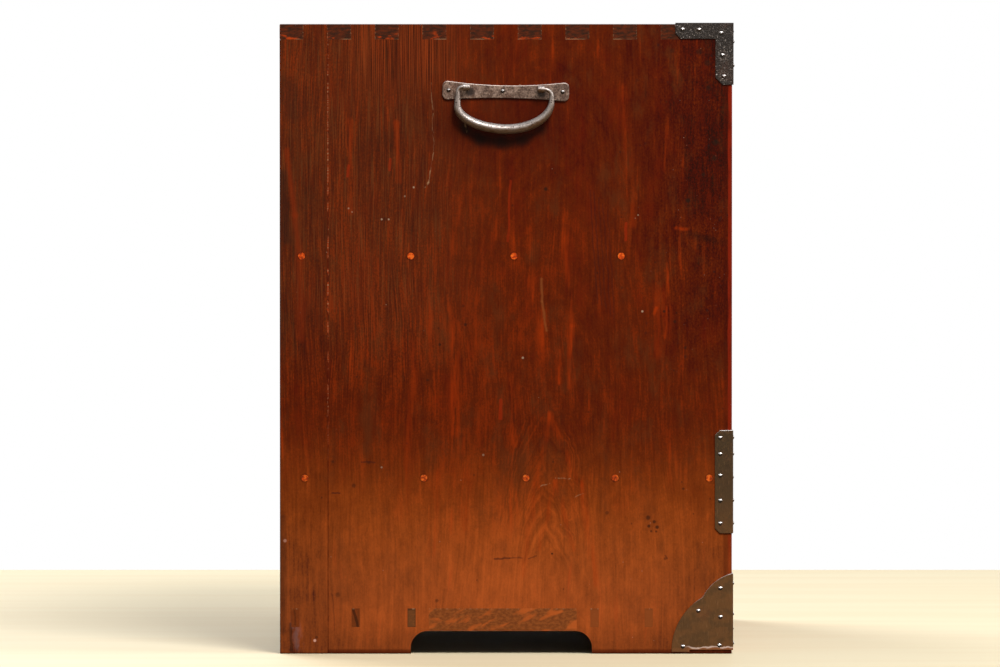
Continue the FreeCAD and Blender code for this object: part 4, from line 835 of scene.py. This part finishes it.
def tenon_ends(finish):
    """End grain of the through tenons.

    The wide one is olive brown with soft orange patches that rise towards the front. The
    narrow ones are plainer, each with a dark outline and some pale filler along its top.
    """
    wood = bpy.context.scene.tansu_wood
    flat = side_place(finish)[0]
    x, behind, z = finish.split(flat)
    ends = end_share(finish)
    wide = abs(behind - 2.7).rise(67.0, 66.0)
    rising = z * 0.45 - behind * 0.89
    across = z * 0.89 + behind * 0.45
    slanted = finish.vector(rising * 0.042, across * 0.12, x * 0.1)
    patches = finish.noise(slanted, 1.0, 3.0, 0.5, 0.3).rise(0.5, 0.65)
    fine = finish.noise(flat, (0.3, 0.3, 0.5), 3.0, 0.6).rise(0.35, 0.68)
    olive = finish.mix(fine, linear(118, 62, 28), linear(148, 80, 36))
    finish.lay(ends * wide * 0.9, olive)
    finish.lay(patches * ends * wide * 0.7, linear(194, 92, 36))
    for middle, tint, share, dark in NARROW_TENONS:
        away = abs(behind - middle)
        inside = ends * away.rise(4.4, 4.0)
        finish.lay(inside * (share + 0.3), finish.mix(fine * 0.3, linear(*tint), olive))
        outline = away.rise(2.6, 3.5) + z.rise(24.4, 23.6) + z.rise(37.9, 38.7)
        finish.lay(inside * outline.least(1.0) * dark, linear(52, 26, 14))
    splits = [(134.8, 38.5, 131, 24, 1.6, 0.7), (187.5, 38, 186, 25, 1.2, 0.4)]
    mark_strokes(finish, splits, linear(46, 22, 10), ends)
    broken = finish.noise(flat, (0.0, 0.3, 0.0), 2.0).rise(0.5, 0.62)
    filler = z.rise(38.8, 39.4) * broken * (1 - wide * 0.6)
    finish.lay(ends * filler * 0.6, wood.glue)


# ---- Iron ------------------------------------------------------------------------------
class Iron(Finish):
    """A finish for forged iron, with its place, rusty share and hammered height."""

    def __init__(self, name):
        super().__init__(name)
        self.place = self.point()
        dents = self.cells(self.place, 0.2, "SMOOTH_F1").rise(0.1, 0.75)
        self.fine = self.noise(self.place, 0.8, 4.0, 0.65)
        self.cloud = self.noise(self.place, 0.05, 3.0, 0.6)
        self.rusty = self.cloud.rise(0.52, 0.72) * self.fine.rise(0.35, 0.6)
        self.height = dents * 0.6 + self.fine * 0.4

    def rubbed(self):
        """Share rubbed through its black."""
        return self.fine.rise(0.42, 0.7) * self.cloud.rise(0.35, 0.65)


def lit_edges(finish, pale, share):
    """Paints a highlight on the edges that face up and shade on those that face down."""
    up = finish.split(finish.facing())[2]
    finish.lay(up.rise(0.25, 0.7) * share, pale)
    finish.lay(up.rise(-0.25, -0.7) * share, linear(24, 18, 14))


# The left corner iron's nails: behind the case's middle and above the floor, in millimetres.
CORNER_NAILS = (
    (-156.2, 552.4), (-170.8, 552.2), (-190.2, 549.2), (-191.6, 529.6), (-192.8, 511.0),
)


def chased_iron():
    """Black iron worked all over with a small round punch, and in a ring round each nail."""
    iron = bpy.context.scene.tansu_iron
    finish = Iron("chased_iron")
    rubbed = finish.rubbed()
    punch = finish.cells(finish.place, 0.6).rise(0.1, 0.6)
    curls = finish.noise(finish.place, 0.36, 1.0, 0.5, 3.0)
    ridge = (curls - 0.5).near(0.0, 0.05)
    ridge = ridge * finish.noise(finish.place, 0.16, 2.0).rise(0.38, 0.6)
    finish.colour = finish.mix(rubbed * 0.22, linear(29, 22, 18), iron.grey)
    finish.lay(ridge * 0.5, linear(104, 93, 85))
    finish.lay(punch * 0.5, linear(20, 14, 11))
    specks = finish.noise(finish.place, 0.75, 2.0, 0.5).rise(0.62, 0.72)
    finish.lay(specks * 0.6, linear(164, 152, 144))
    finish.lay(finish.rusty * 0.2, iron.rust)
    flat = side_place(finish)[0]
    for middle in CORNER_NAILS:
        ring = finish.spot(flat, middle, 5.2, 0.6) * (1 - finish.spot(flat, middle, 3.6, 0.8))
        finish.lay(ring * rubbed.rise(0.05, 0.4) * 0.35, linear(140, 126, 116))
    # Painted highlight on faces and edges that face the rear.
    rear_facing_highlight = finish.split(finish.facing())[1].rise(0.3, 0.7)
    finish.lay(rear_facing_highlight * 0.5, linear(150, 138, 124))
    normal = finish.bump(finish.height * 0.5 + ridge - punch * 0.8, 0.35, 0.9)
    roughness = 0.42 + punch * 0.2
    return finish.surface(roughness, normal, 0.55, 0.4)


def plain_iron():
    """Hammered black iron of the front's hinges, locks and plates."""
    iron = bpy.context.scene.tansu_iron
    finish = Iron("plain_iron")
    finish.colour = finish.mix(finish.rubbed() * 0.7, iron.black, iron.grey)
    finish.lay(finish.rusty * 0.35, iron.rust)
    # Painted highlight on edges facing up, painted shade on edges facing down.
    lit_edges(finish, linear(150, 142, 134), 0.6)
    normal = finish.bump(finish.height, 0.25, 0.7)
    return finish.surface(0.4 + finish.rusty * 0.25, normal, 0.6, 0.4)


def low_iron():
    """Iron of the straps and foot plates: its brown patina is strongest at the floor.

    Olive stains and fine scratches cross it, and its lowest edge has worn ragged and
    orange-brown, with a painted highlight along it.
    """
    iron = bpy.context.scene.tansu_iron
    finish = Iron("low_iron")
    z = finish.split(finish.place)[2]
    dark = linear(38, 25, 11)
    high = finish.mix(finish.rubbed() * 0.5 + 0.15, dark, linear(94, 68, 36))
    finish.colour = finish.mix(z.rise(190.0, 50.0) * 0.95, high, iron.bronze)
    stains = finish.noise(finish.place, (0.07, 0.07, 0.09), 4.0, 0.66).rise(0.44, 0.62)
    finish.lay(stains * 0.5, linear(60, 43, 20))
    scratches = finish.noise(finish.place, (0.9, 0.9, 0.14), 3.0, 0.65)
    finish.lay(scratches.rise(0.55, 0.75) * 0.3, linear(138, 100, 66))
    finish.lay(scratches.rise(0.45, 0.28) * 0.3, dark)
    finish.lay(finish.rusty * 0.25, linear(112, 56, 24))
    # Painted highlight on edges facing up and painted shade on edges facing down, fading out below
    # 50 mm from the floor.
    lit_edges(finish, linear(206, 208, 206), z.rise(42.0, 50.0) * 0.85)
    ragged = finish.noise(finish.place, (0.14, 0.14, 0.14), 3.0) * 5.0
    toe = (finish.split(finish.place)[1] - MIDDLE).rise(-156.0, -166.0)
    torn = (z - ragged).rise(3.6, 1.6) * (0.25 + toe * 0.75)
    finish.lay(torn * 0.7, linear(142, 82, 44))
    # Painted highlight along the ragged lowest edge.
    ragged_edge_highlight = (z - ragged).near(3.0, 0.9) * toe
    finish.lay(ragged_edge_highlight * 0.75, linear(206, 180, 168))
    normal = finish.bump(finish.height, 0.2, 0.6)
    return finish.surface(0.42 + finish.rusty * 0.25, normal, 0.55, 0.4)


def handle_plate_iron():
    """Grey-brown iron of the carrying handles' plates, speckled, with painted shadows under the
    eyes.
    """
    iron = bpy.context.scene.tansu_iron
    finish = Iron("handle_plate_iron")
    mottle = finish.noise(finish.place, 0.16, 4.0, 0.65)
    specks = finish.noise(finish.place, 0.7, 3.0, 0.6)
    finish.colour = finish.mix(mottle.rise(0.38, 0.62), linear(88, 66, 55), iron.plate)
    finish.lay(specks.rise(0.5, 0.62) * 0.75, linear(50, 35, 28))
    finish.lay(specks.rise(0.42, 0.3) * 0.5, linear(176, 154, 140))
    finish.lay(finish.rusty * 0.35, iron.rust)
    # Painted shadows under the two eyes, and a smaller dark spot between them.
    eye_shadows_and_spot = ((32, 497.4, 5.6, 0.9), (-31.4, 496.6, 6, 0.92), (2.4, 498.8, 3, 0.5))
    mark_spots(finish, eye_shadows_and_spot, linear(26, 15, 10))
    # Painted highlight on the plate's edges facing up, painted shade on those facing down.
    lit_edges(finish, linear(230, 222, 216), 0.95)
    normal = finish.bump(finish.height, 0.3, 0.8)
    return finish.surface(0.42 + finish.rusty * 0.2, normal, 0.5, 0.4)


def nail_iron():
    """Nail heads: a painted highlight on the crowns facing up and painted shade underneath, with
    rust.
    """
    iron = bpy.context.scene.tansu_iron
    finish = Iron("nail_iron")
    up = finish.split(finish.facing())[2]
    _, y, z = finish.split(finish.place)
    plate_nails = z.rise(480.0, 486.0) * abs(y - MIDDLE).rise(80.0, 74.0)
    # Painted highlight on the crowns facing up.
    finish.colour = finish.mix(up.near(0.42, 0.26), linear(58, 47, 40), iron.nail)
    # Darker heads on the handles' plates, narrowing their painted highlight.
    finish.lay(plate_nails * up.rise(0.42, 0.34) * 0.9, linear(52, 38, 31))
    finish.lay(plate_nails * up.rise(0.46, 0.54) * 0.9, linear(52, 38, 31))
    # Painted shade on the undersides.
    finish.lay(up.rise(-0.05, -0.35) * 0.85, linear(26, 20, 17))
    finish.lay(finish.rusty * 0.25, iron.rust)
    return finish.surface(0.25 + finish.rusty * 0.2, finish.bump(finish.height, 0.1), metal=0.7)


def worn_steel():
    """Handled steel: a painted highlight above and a painted brown reflection underneath, with
    rust in patches and dark pits in its hollows.
    """
    iron = bpy.context.scene.tansu_iron
    finish = Iron("worn_steel")
    up = finish.split(finish.facing())[2]
    # Rust in patches, and a painted brown reflection on the undersides.
    brown = (finish.rusty * 0.6 + up.rise(0.42, -0.35) * 0.92).least(1.0)
    finish.colour = finish.mix(brown, iron.steel, linear(72, 47, 26))
    pits = finish.noise(finish.place, 0.7, 4.0, 0.65).rise(0.54, 0.64)
    patches = finish.noise(finish.place, 0.1, 3.0, 0.6).rise(0.42, 0.56)
    finish.lay(pits * patches * 0.9, linear(46, 34, 28))
    # Painted highlight on the tops.
    finish.lay(up.rise(0.45, 0.85) * (1 - pits) * 0.5, linear(206, 204, 202))
    roughness = 0.34 + brown * 0.2 + pits * 0.15
    return finish.surface(roughness, finish.bump(finish.height - pits, 0.2, 0.7), metal=0.7)


# ---- Meshes ----------------------------------------------------------------------------
def new_piece(name, mesh, material, body):
    """Links a mesh as a piece that rides on a body and takes its finish from a slot."""
    piece = bpy.data.objects.new(name, mesh)
    bpy.context.scene.collection.objects.link(piece)
    mesh.materials.clear()
    mesh.materials.append(material)
    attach(piece, body)
    return piece


def dressed(node, material, slot, width=0.0, seam=None):
    """Replaces a CAD node by its own merged mesh, with arrises rounded by width millimetres.

    Triangles that lie in one plane are joined. Creases are bevelled where they are at least
    SHORTEST long, and stay sharp where they are shorter. Edges at the seam's y, where two
    boards are glued flush, stay sharp too. Faces that meet a neighbour at a lesser turn are
    part of a curve and shaded smooth. Where width is 0, nothing is bevelled.
    """
    source = nodes[node]
    shortest = SHORTEST[slot] * MM if width else 0.0
    work = bmesh.new()
    work.from_mesh(source.data)
    bmesh.ops.remove_doubles(work, verts=work.verts, dist=MERGED)
    bmesh.ops.dissolve_limit(work, angle_limit=JOINED, verts=work.verts, edges=work.edges)
    weight = work.edges.layers.float.new("bevel_weight_edge")
    for face in work.faces:
        turns = [edge.calc_face_angle() for edge in face.edges if edge.is_manifold]
        face.smooth = any(FLAT < turn < CREASE for turn in turns)
    for edge in work.edges:
        sharp = not edge.is_manifold or edge.calc_face_angle() > CREASE
        soft = sharp and edge.is_manifold and edge.calc_length() >= shortest
        if seam is not None:
            soft = soft and any(abs(end.co.y - seam * MM) > AT_SEAM for end in edge.verts)
        edge[weight] = float(soft)
        edge.smooth = soft or not sharp
    mesh = bpy.data.meshes.new(node + "_dressed")
    work.to_mesh(mesh)
    work.free()
    piece = new_piece(node + "_dressed", mesh, material, source["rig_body"])
    if width:
        bevel = piece.modifiers.new("arris", "BEVEL")
        bevel.width = width * MM
        bevel.segments = 2
        bevel.limit_method = "WEIGHT"
        bevel.use_clamp_overlap = False
    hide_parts(node)


def finished(node, material):
    """Gives a CAD node its material and leaves its shape."""
    for slot in nodes[node].material_slots:
        slot.material = material


def grid_mesh(name, points):
    """A closed tube from a grid of points: rows are rings along it, and its ends are capped.

    Each ring's last point joins its first, and each end ring is closed by a fan.
    """
    rings, sides, _ = points.shape
    row = np.arange(rings - 1)[:, None] * sides
    column = np.arange(sides)[None, :]
    after = (column + 1) % sides
    quads = np.stack([row + column, row + after, row + sides + after, row + sides + column], -1)
    caps = [points[0].mean(0), points[-1].mean(0)]
    vertices = np.concatenate([points.reshape(-1, 3), caps])
    first, last = rings * sides, rings * sides + 1
    ring = np.arange(sides)
    following = (ring + 1) % sides
    start = np.stack([following, ring, np.full(sides, first)], -1)
    end_row = (rings - 1) * sides
    end = np.stack([end_row + ring, end_row + following, np.full(sides, last)], -1)
    mesh = bpy.data.meshes.new(name)
    faces = quads.reshape(-1, 4).tolist() + start.tolist() + end.tolist()
    mesh.from_pydata(vertices.tolist(), [], faces)
    mesh.polygons.foreach_set("use_smooth", np.ones(len(mesh.polygons), bool))
    mesh.update()
    return mesh


def half_line(half, shoulder, low_point, settings):
    """Centreline of a bail's right half from its inner end to its lowest point, as (u, v) rows.

    Straight through the eye, a quarter circle down, straight to the shoulder, then a quarter
    ellipse.
    """
    gap = 0.6 * MM
    start = settings.spread - settings.eye_width / 2 - gap
    stub = settings.spread + settings.eye_width / 2 + gap
    turn = half - stub
    deep = settings.drop - shoulder
    head = np.stack([start + np.array([0.0, 0.3, 1.5, 1.7]) * MM, np.zeros(4)], 1)
    through = np.stack([np.linspace(start + 2.0 * MM, stub - 0.3 * MM, 5), np.zeros(5)], 1)
    angle = np.linspace(np.pi / 2, 0.0, 9)
    corner = np.stack([stub + turn * np.cos(angle), turn * np.sin(angle) - turn], 1)
    sweep = np.linspace(0.0, np.pi / 2, 33)
    bow = np.stack(
        [low_point + (half - low_point) * np.cos(sweep), -shoulder - deep * np.sin(sweep)], 1
    )
    return np.concatenate([head, through, corner, bow])


def on_face(points, face, along, height, tilt):
    """Turns points from a face's own frame (right, up, out) to the chest's frame.

    tilt turns them in the face's plane; along is X on the drawers' fronts and Y on a side.
    """
    right, up, out = points[..., 0], points[..., 1], points[..., 2]
    r = right * math.cos(tilt) - up * math.sin(tilt)
    u = right * math.sin(tilt) + up * math.cos(tilt) + height
    if face == "front":
        return np.stack([along + r, FACE * MM - out, u], -1)
    if face == "left":
        return np.stack([LEFT * MM - out, along - r, u], -1)
    return np.stack([-LEFT * MM + out, along + r, u], -1)


# How much a bail's radius varies round and along it, as shares of the radius.
HAMMER_FLATS = 0.018
HAMMER_WAVES = 0.012


def bail_mesh(name, settings, place, sides=20):
    """A forged bail: a round section carried along the bow, hammered slightly uneven.

    The radius grows from the ends as sin(share of the drop)^1.5 to the middle, with an upset
    head inside each eye; cos(4 angle) and slow waves along the bow leave soft hammer flats.
    """
    right = half_line(settings.half_right, settings.shoulder_right, settings.low_point, settings)
    left = half_line(settings.half_left, settings.shoulder_left, -settings.low_point, settings)
    left[:, 0] *= -1
    line = np.concatenate([right, left[-2::-1]])
    slope = np.gradient(line, axis=0)
    slope /= np.linalg.norm(slope, axis=1)[:, None]
    square = np.stack([-slope[:, 1], slope[:, 0]], 1)
    share = np.clip(-line[:, 1] / settings.drop, 0, 1)
    growth = settings.middle_radius - settings.end_radius
    radius = settings.end_radius + growth * np.sin(share * np.pi / 2) ** 1.5
    head = np.array([0.62, 1.0, 1.0, 0.0]) * 0.8 * MM
    radius[:4] += head
    radius[-4:] += head[::-1]
    step = np.arange(len(line))
    angle = np.arange(sides) * 2 * np.pi / sides
    flats = HAMMER_FLATS * np.cos(4 * angle)[None, :] * np.sin(share * np.pi / 2)[:, None]
    waves = HAMMER_WAVES * np.sin(step * 0.83)[:, None] * np.sin(2 * angle + 0.6)[None, :]
    ring = radius[:, None] * (1 + flats + waves * share[:, None])
    points = np.zeros((len(line), sides, 3))
    points[..., :2] = line[:, None, :] + square[:, None, :] * (ring * np.cos(angle))[..., None]
    points[..., 2] = settings.out + ring * np.sin(angle)
    mesh = grid_mesh(name, on_face(points, *place))
    work = bmesh.new()
    work.from_mesh(mesh)
    bmesh.ops.recalc_face_normals(work, faces=work.faces)
    work.to_mesh(mesh)
    work.free()
    return mesh


def add_bail(node, settings, face, tilt, steel, sides=20):
    """Makes a handle's or a pull's bail where its joint is, in place of the CAD node."""
    joint = next(joint for joint in frame["joints"] if joint["child"] == node)
    x, y, z = Vector(joint["pos_m"])
    place = (face, x if face == "front" else y, z, tilt)
    mesh = bail_mesh(node + "_bow", settings, place, sides)
    piece = new_piece(node + "_bow", mesh, steel, node)
    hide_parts(node)


# ---- Operators -------------------------------------------------------------------------
class TANSU_OT_sides(bpy.types.Operator):
    """Dress the four boards of the two sides"""

    bl_idname = "tansu.sides"
    bl_label = "Side boards"

    def execute(self, context):
        arris = context.scene.tansu_wood.arris / MM
        left_main = Board("YXZ", (-40, -262), taper=0.24, seed=11.0, bare="+X", figure=0.3)
        left_rear = Board("YXZ", (330, -230), lean=0.05, seed=57.0, bare="+X", figure=0.5)
        right_main = Board("YXZ", (24, 270), taper=-0.3, seed=93.0, bare="-X")
        right_rear = Board("YXZ", (-90, 240), seed=131.0, bare="-X")
        for node, board, *details in (
            ("left_side_main_board", left_main, main_board_marks, side_tone_shift),
            ("left_side_rear_board", left_rear, rear_board_marks, side_tone_shift),
            ("right_side_main_board", right_main, front_arris),
            ("right_side_rear_board", right_rear),
        ):
            finish = lacquered(node + "_lacquer", board, *details)
            dressed(node, finish, "lacquered_wood", arris, SEAM)
        return {"FINISHED"}


class TANSU_OT_case_boards(bpy.types.Operator):
    """Dress the top, the bottom, the divider, the shelf, the partition, the rails and the back"""

    bl_idname = "tansu.case_boards"
    bl_label = "Case boards"

    def execute(self, context):
        arris = context.scene.tansu_wood.arris / MM
        top = Board("YZX", (40, 420), taper=0.12, seed=171.0, bare="-Z")
        dressed("top_board", lacquered("top_lacquer", top, finger_lines), "lacquered_wood", arris)
        apron = Board("ZYX", (-60, -260), taper=0.06, seed=203.0, bare="+Y")
        dressed("front_apron", lacquered("apron_lacquer", apron), "lacquered_wood", 0.6)
        bottom = Board("YZX", (0, -80), seed=229.0, bare="+Z-Z")
        finished("bottom_board", lacquered("bottom_lacquer", bottom, tenon_ends))
        divider = Board("YZX", (-150, 60), seed=251.0, bare="+Z-Z+Y")
        dressed("divider_board", lacquered("divider_lacquer", divider), "lacquered_wood", 0.5)
        rails = Board("YZX", (-260, 250), seed=277.0, bare="+Z-Z+Y")
        finished("drawer_rails", lacquered("rail_lacquer", rails))
        partition = lacquered(
            "partition_lacquer", Board("YXZ", (-120, 60), seed=307.0, bare="+X-X+Y")
        )
        dressed("partition_board", partition, "lacquered_wood", 0.5)
        finished("cupboard_shelf", bare_wood("shelf_wood", Board("YZX", (20, 300), seed=331.0)))
        runners = Board("XZY", (120, 250), seed=353.0)
        finished("drawer_runners", bare_wood("runner_wood", runners))
        splits = ((-BACK_THIRD, 210), (BACK_THIRD, -395))
        back = Board("XYZ", (-190, 250), taper=0.1, seed=379.0, splits=splits)
        finished("back_boards", bare_wood("back_wood", back))
        dressed("wooden_pegs", peg_wood(), "peg_wood")
        return {"FINISHED"}


class TANSU_OT_case_irons(bpy.types.Operator):
    """Dress the corners, straps, foot plates and nails"""

    bl_idname = "tansu.case_irons"
    bl_label = "Corners, straps and foot plates"

    def execute(self, context):
        edge = context.scene.tansu_iron.edge / MM
        dressed("top_corner_irons", chased_iron(), "chased_iron", edge)
        brown = low_iron()
        dressed("middle_straps", brown, "plain_iron", 0.5)
        dressed("foot_plates", brown, "plain_iron", 0.5)
        dressed("case_nails", nail_iron(), "nail_iron")
        return {"FINISHED"}


class TANSU_OT_carry_handles(bpy.types.Operator):
    """Make the two carrying handles"""

    bl_idname = "tansu.carry_handles"
    bl_label = "Carrying handles"

    def execute(self, context):
        settings = context.scene.tansu_carry_bail
        steel = worn_steel()
        dressed("carry_handle_plates", handle_plate_iron(), "plain_iron", 0.55)
        dressed("carry_handle_eyes", steel, "worn_steel")
        add_bail("left_carry_handle", settings, "left", math.radians(-1.7), steel)
        add_bail("right_carry_handle", settings, "right", 0.0, steel)
        return {"FINISHED"}


class TANSU_OT_door(bpy.types.Operator):
    """Dress the cupboard door, its hinges, lock and ring"""

    bl_idname = "tansu.door"
    bl_label = "Cupboard door"

    def execute(self, context):
        edge = context.scene.tansu_iron.edge / MM
        board = Board("XYZ", (-120, -270), taper=0.16, seed=401.0, bare="+Y")
        finished("door_board", lacquered("door_lacquer", board))
        cleat = Board("ZYX", (420, -290), seed=433.0, bare="+Y")
        finished("door_cleats", lacquered("cleat_lacquer", cleat))
        iron = plain_iron()
        hinges = ("hinge_case_leaves", "hinge_door_leaves", "hinge_pins")
        for node in (*hinges, "door_lock_plate", "door_lock_bolt"):
            dressed(node, iron, "plain_iron", edge)
        dressed("door_ring_mount", iron, "plain_iron")
        dressed("door_nails", nail_iron(), "nail_iron")
        dressed("door_ring", worn_steel(), "worn_steel")
        return {"FINISHED"}


class TANSU_OT_drawers(bpy.types.Operator):
    """Dress the four drawers and make their bails"""

    bl_idname = "tansu.drawers"
    bl_label = "Drawers"

    def execute(self, context):
        settings = context.scene.tansu_pull_bail
        edge = context.scene.tansu_iron.edge / MM
        iron = plain_iron()
        steel = worn_steel()
        woods = {
            "_sides": bare_wood("drawer_sides_wood", Board("ZXY", (30, 160), seed=461.0)),
            "_bottom": bare_wood("drawer_bottom_wood", Board("YZX", (60, 80), seed=487.0)),
            "_back": bare_wood("drawer_back_wood", Board("ZYX", (90, 260), seed=509.0)),
        }
        for name, pith, taper, seed, bails in (
            ("lower_drawer", (205, -262), 0.2, 523.0, ("_bail",)),
            ("middle_drawer", (372, -300), -0.16, 541.0, ("_bail",)),
            ("upper_drawer", (470, -250), 0.24, 563.0, ("_bail",)),
            ("wide_drawer", (88, -270), 0.14, 587.0, ("_left_bail", "_right_bail")),
        ):
            front = Board("ZYX", pith, taper=taper, seed=seed, bare="+Y")
            finished(name + "_front", lacquered(name + "_lacquer", front))
            for suffix, wood in woods.items():
                finished(name + suffix, wood)
            dressed(name + "_pull_mount", iron, "plain_iron", edge)
            for suffix in bails:
                add_bail(name + suffix, settings, "front", 0.0, steel, 16)
        dressed("wide_drawer_lock_plate", iron, "plain_iron", edge)
        dressed("wide_drawer_lock_bolt", iron, "plain_iron", edge)
        return {"FINISHED"}


# How far the floor reaches from the middle and lies under the feet, and the heights of the
# camera and of the places that it and the lamps look at, in metres.
FLOOR_REACH = 4.0
FLOOR_GAP = 2e-4
CAMERA_HEIGHT = 0.53
CAMERA_AIM = 0.2835
LAMPS_AIM = 0.28
# The camera's sensor and its place behind the case's middle, in millimetres, and how many of
# its views side by side would span a metre.
SENSOR = 36.0
CAMERA_BEHIND = 5.2
VIEWS_PER_METRE = 1.1311


def aim(item, target):
    """Turns a lamp or camera to a place and links it."""
    away = Vector(target) - item.location
    item.rotation_euler = away.to_track_quat("-Z", "Y").to_euler()
    bpy.context.scene.collection.objects.link(item)


class TANSU_OT_stage(bpy.types.Operator):
    """Make the floor, the light and the camera"""

    bl_idname = "tansu.stage"
    bl_label = "Floor, light and camera"

    def execute(self, context):
        settings = context.scene.tansu_stage
        context.scene.view_settings.view_transform = "Standard"
        self.floor(settings)
        self.world(settings)
        self.lamp("key", (-2.1, -0.75, 2.75), 1.1, settings.key)
        self.lamp("fill", (-0.9, -3.0, 1.5), 1.8, settings.fill)
        self.lamp("back", (2.3, 1.5, 2.6), 1.8, settings.back)
        self.camera(settings)
        return {"FINISHED"}

    def floor(self, settings):
        """A flat sheet just under the chest's feet."""
        mesh = bpy.data.meshes.new("floor")
        near, far, below = -FLOOR_REACH, settings.floor_end, -FLOOR_GAP
        ends = ((near, near), (far, near), (far, FLOOR_REACH), (near, FLOOR_REACH))
        mesh.from_pydata([(x, y, below) for x, y in ends], [], [(0, 1, 2, 3)])
        finish = Finish("floor_wood")
        place = finish.point()
        streaks = finish.noise(place, (0.02, 0.002, 1.0), 3.0).rise(0.35, 0.7)
        pale = finish.mix(streaks * 0.3, tuple(settings.floor), linear(204, 182, 142))
        seen, mirrored = finish.rays("Camera", "Glossy")
        finish.colour = finish.mix(seen.most(mirrored), linear(98, 90, 72), pale)
        mesh.materials.append(finish.surface(0.6))
        floor = bpy.data.objects.new("floor", mesh)
        bpy.context.scene.collection.objects.link(floor)

    def world(self, settings):
        """Even light from all round, which the camera and reflections see as plain white."""
        world = Finish("studio", "worlds")
        seen, mirrored, through = world.rays("Camera", "Glossy", "Transmission")
        adding = {"operation": "ADD", "use_clamp": True}
        clear = world.node("ShaderNodeMath", adding, [seen + mirrored, through])
        even = world.background((1.0, 0.98, 0.95), settings.ambient)
        white = world.background((1.0, 1.0, 1.0), 1.0)
        lit = world.node("ShaderNodeMixShader", inputs=[clear, even, white])
        world.node("ShaderNodeOutputWorld", inputs=[lit])
        bpy.context.scene.world = world.block

    def lamp(self, name, place, size, power):
        """A square lamp that looks at the middle of the chest."""
        light = bpy.data.lights.new(name, "AREA")
        light.energy = power
        light.size = size
        lamp = bpy.data.objects.new(name, light)
        lamp.location = place
        aim(lamp, (0.0, 0.0, LAMPS_AIM))

    def camera(self, settings):
        """A long lens square to the left side, a little below the chest's top."""
        lens = bpy.data.cameras.new("camera")
        lens.sensor_width = SENSOR
        lens.lens = SENSOR * VIEWS_PER_METRE * settings.distance
        camera = bpy.data.objects.new("camera", lens)
        middle = (MIDDLE + CAMERA_BEHIND) * MM
        camera.location = (LEFT * MM - settings.distance, middle, CAMERA_HEIGHT)
        aim(camera, (LEFT * MM, middle, CAMERA_AIM))
        bpy.context.scene.camera = camera


class TANSU_PT_panel(bpy.types.Panel):
    """The chest's pieces and settings"""

    bl_idname = "TANSU_PT_panel"
    bl_label = "Small Tansu Chest"
    bl_space_type = "VIEW_3D"
    bl_region_type = "UI"
    bl_category = "Tansu"

    def draw(self, context):
        for operator in OPERATORS:
            self.layout.operator(operator.bl_idname)
        for name in SETTINGS:
            box = self.layout.box()
            settings = getattr(context.scene, name)
            for key in settings.__annotations__:
                box.prop(settings, key)


OPERATORS = (
    TANSU_OT_stage,
    TANSU_OT_sides,
    TANSU_OT_case_boards,
    TANSU_OT_case_irons,
    TANSU_OT_carry_handles,
    TANSU_OT_door,
    TANSU_OT_drawers,
)
SETTINGS = {
    "tansu_wood": TansuWoodSettings,
    "tansu_iron": TansuIronSettings,
    "tansu_carry_bail": TansuBailSettings,
    "tansu_pull_bail": TansuBailSettings,
    "tansu_stage": TansuStageSettings,
}


def register():
    for settings in dict.fromkeys(SETTINGS.values()):
        bpy.utils.register_class(settings)
    for name, settings in SETTINGS.items():
        setattr(bpy.types.Scene, name, bpy.props.PointerProperty(type=settings))
    for operator in OPERATORS:
        bpy.utils.register_class(operator)
    bpy.utils.register_class(TANSU_PT_panel)


def unregister():
    bpy.utils.unregister_class(TANSU_PT_panel)
    for operator in reversed(OPERATORS):
        bpy.utils.unregister_class(operator)
    for name in SETTINGS:
        delattr(bpy.types.Scene, name)
    for settings in dict.fromkeys(SETTINGS.values()):
        bpy.utils.unregister_class(settings)


def set_carry_bail():
    """The carrying handles' sizes, which differ from the drawer pulls' defaults."""
    bail = bpy.context.scene.tansu_carry_bail
    sizes = {
        "half_left": 40.5,
        "half_right": 42.6,
        "shoulder_left": 16.1,
        "shoulder_right": 10.5,
        "drop": 36.0,
        "low_point": 2.0,
        "end_radius": 1.7,
        "middle_radius": 4.2,
        "spread": 33.3,
        "eye_width": 5.6,
        "out": 7.0,
    }
    for name, size in sizes.items():
        setattr(bail, name, size * MM)


def main():
    """Makes every piece in order."""
    register()
    set_carry_bail()
    bpy.ops.tansu.stage()
    bpy.ops.tansu.sides()
    bpy.ops.tansu.case_boards()
    bpy.ops.tansu.case_irons()
    bpy.ops.tansu.carry_handles()
    bpy.ops.tansu.door()
    bpy.ops.tansu.drawers()


if __name__ == "__main__":
    main()
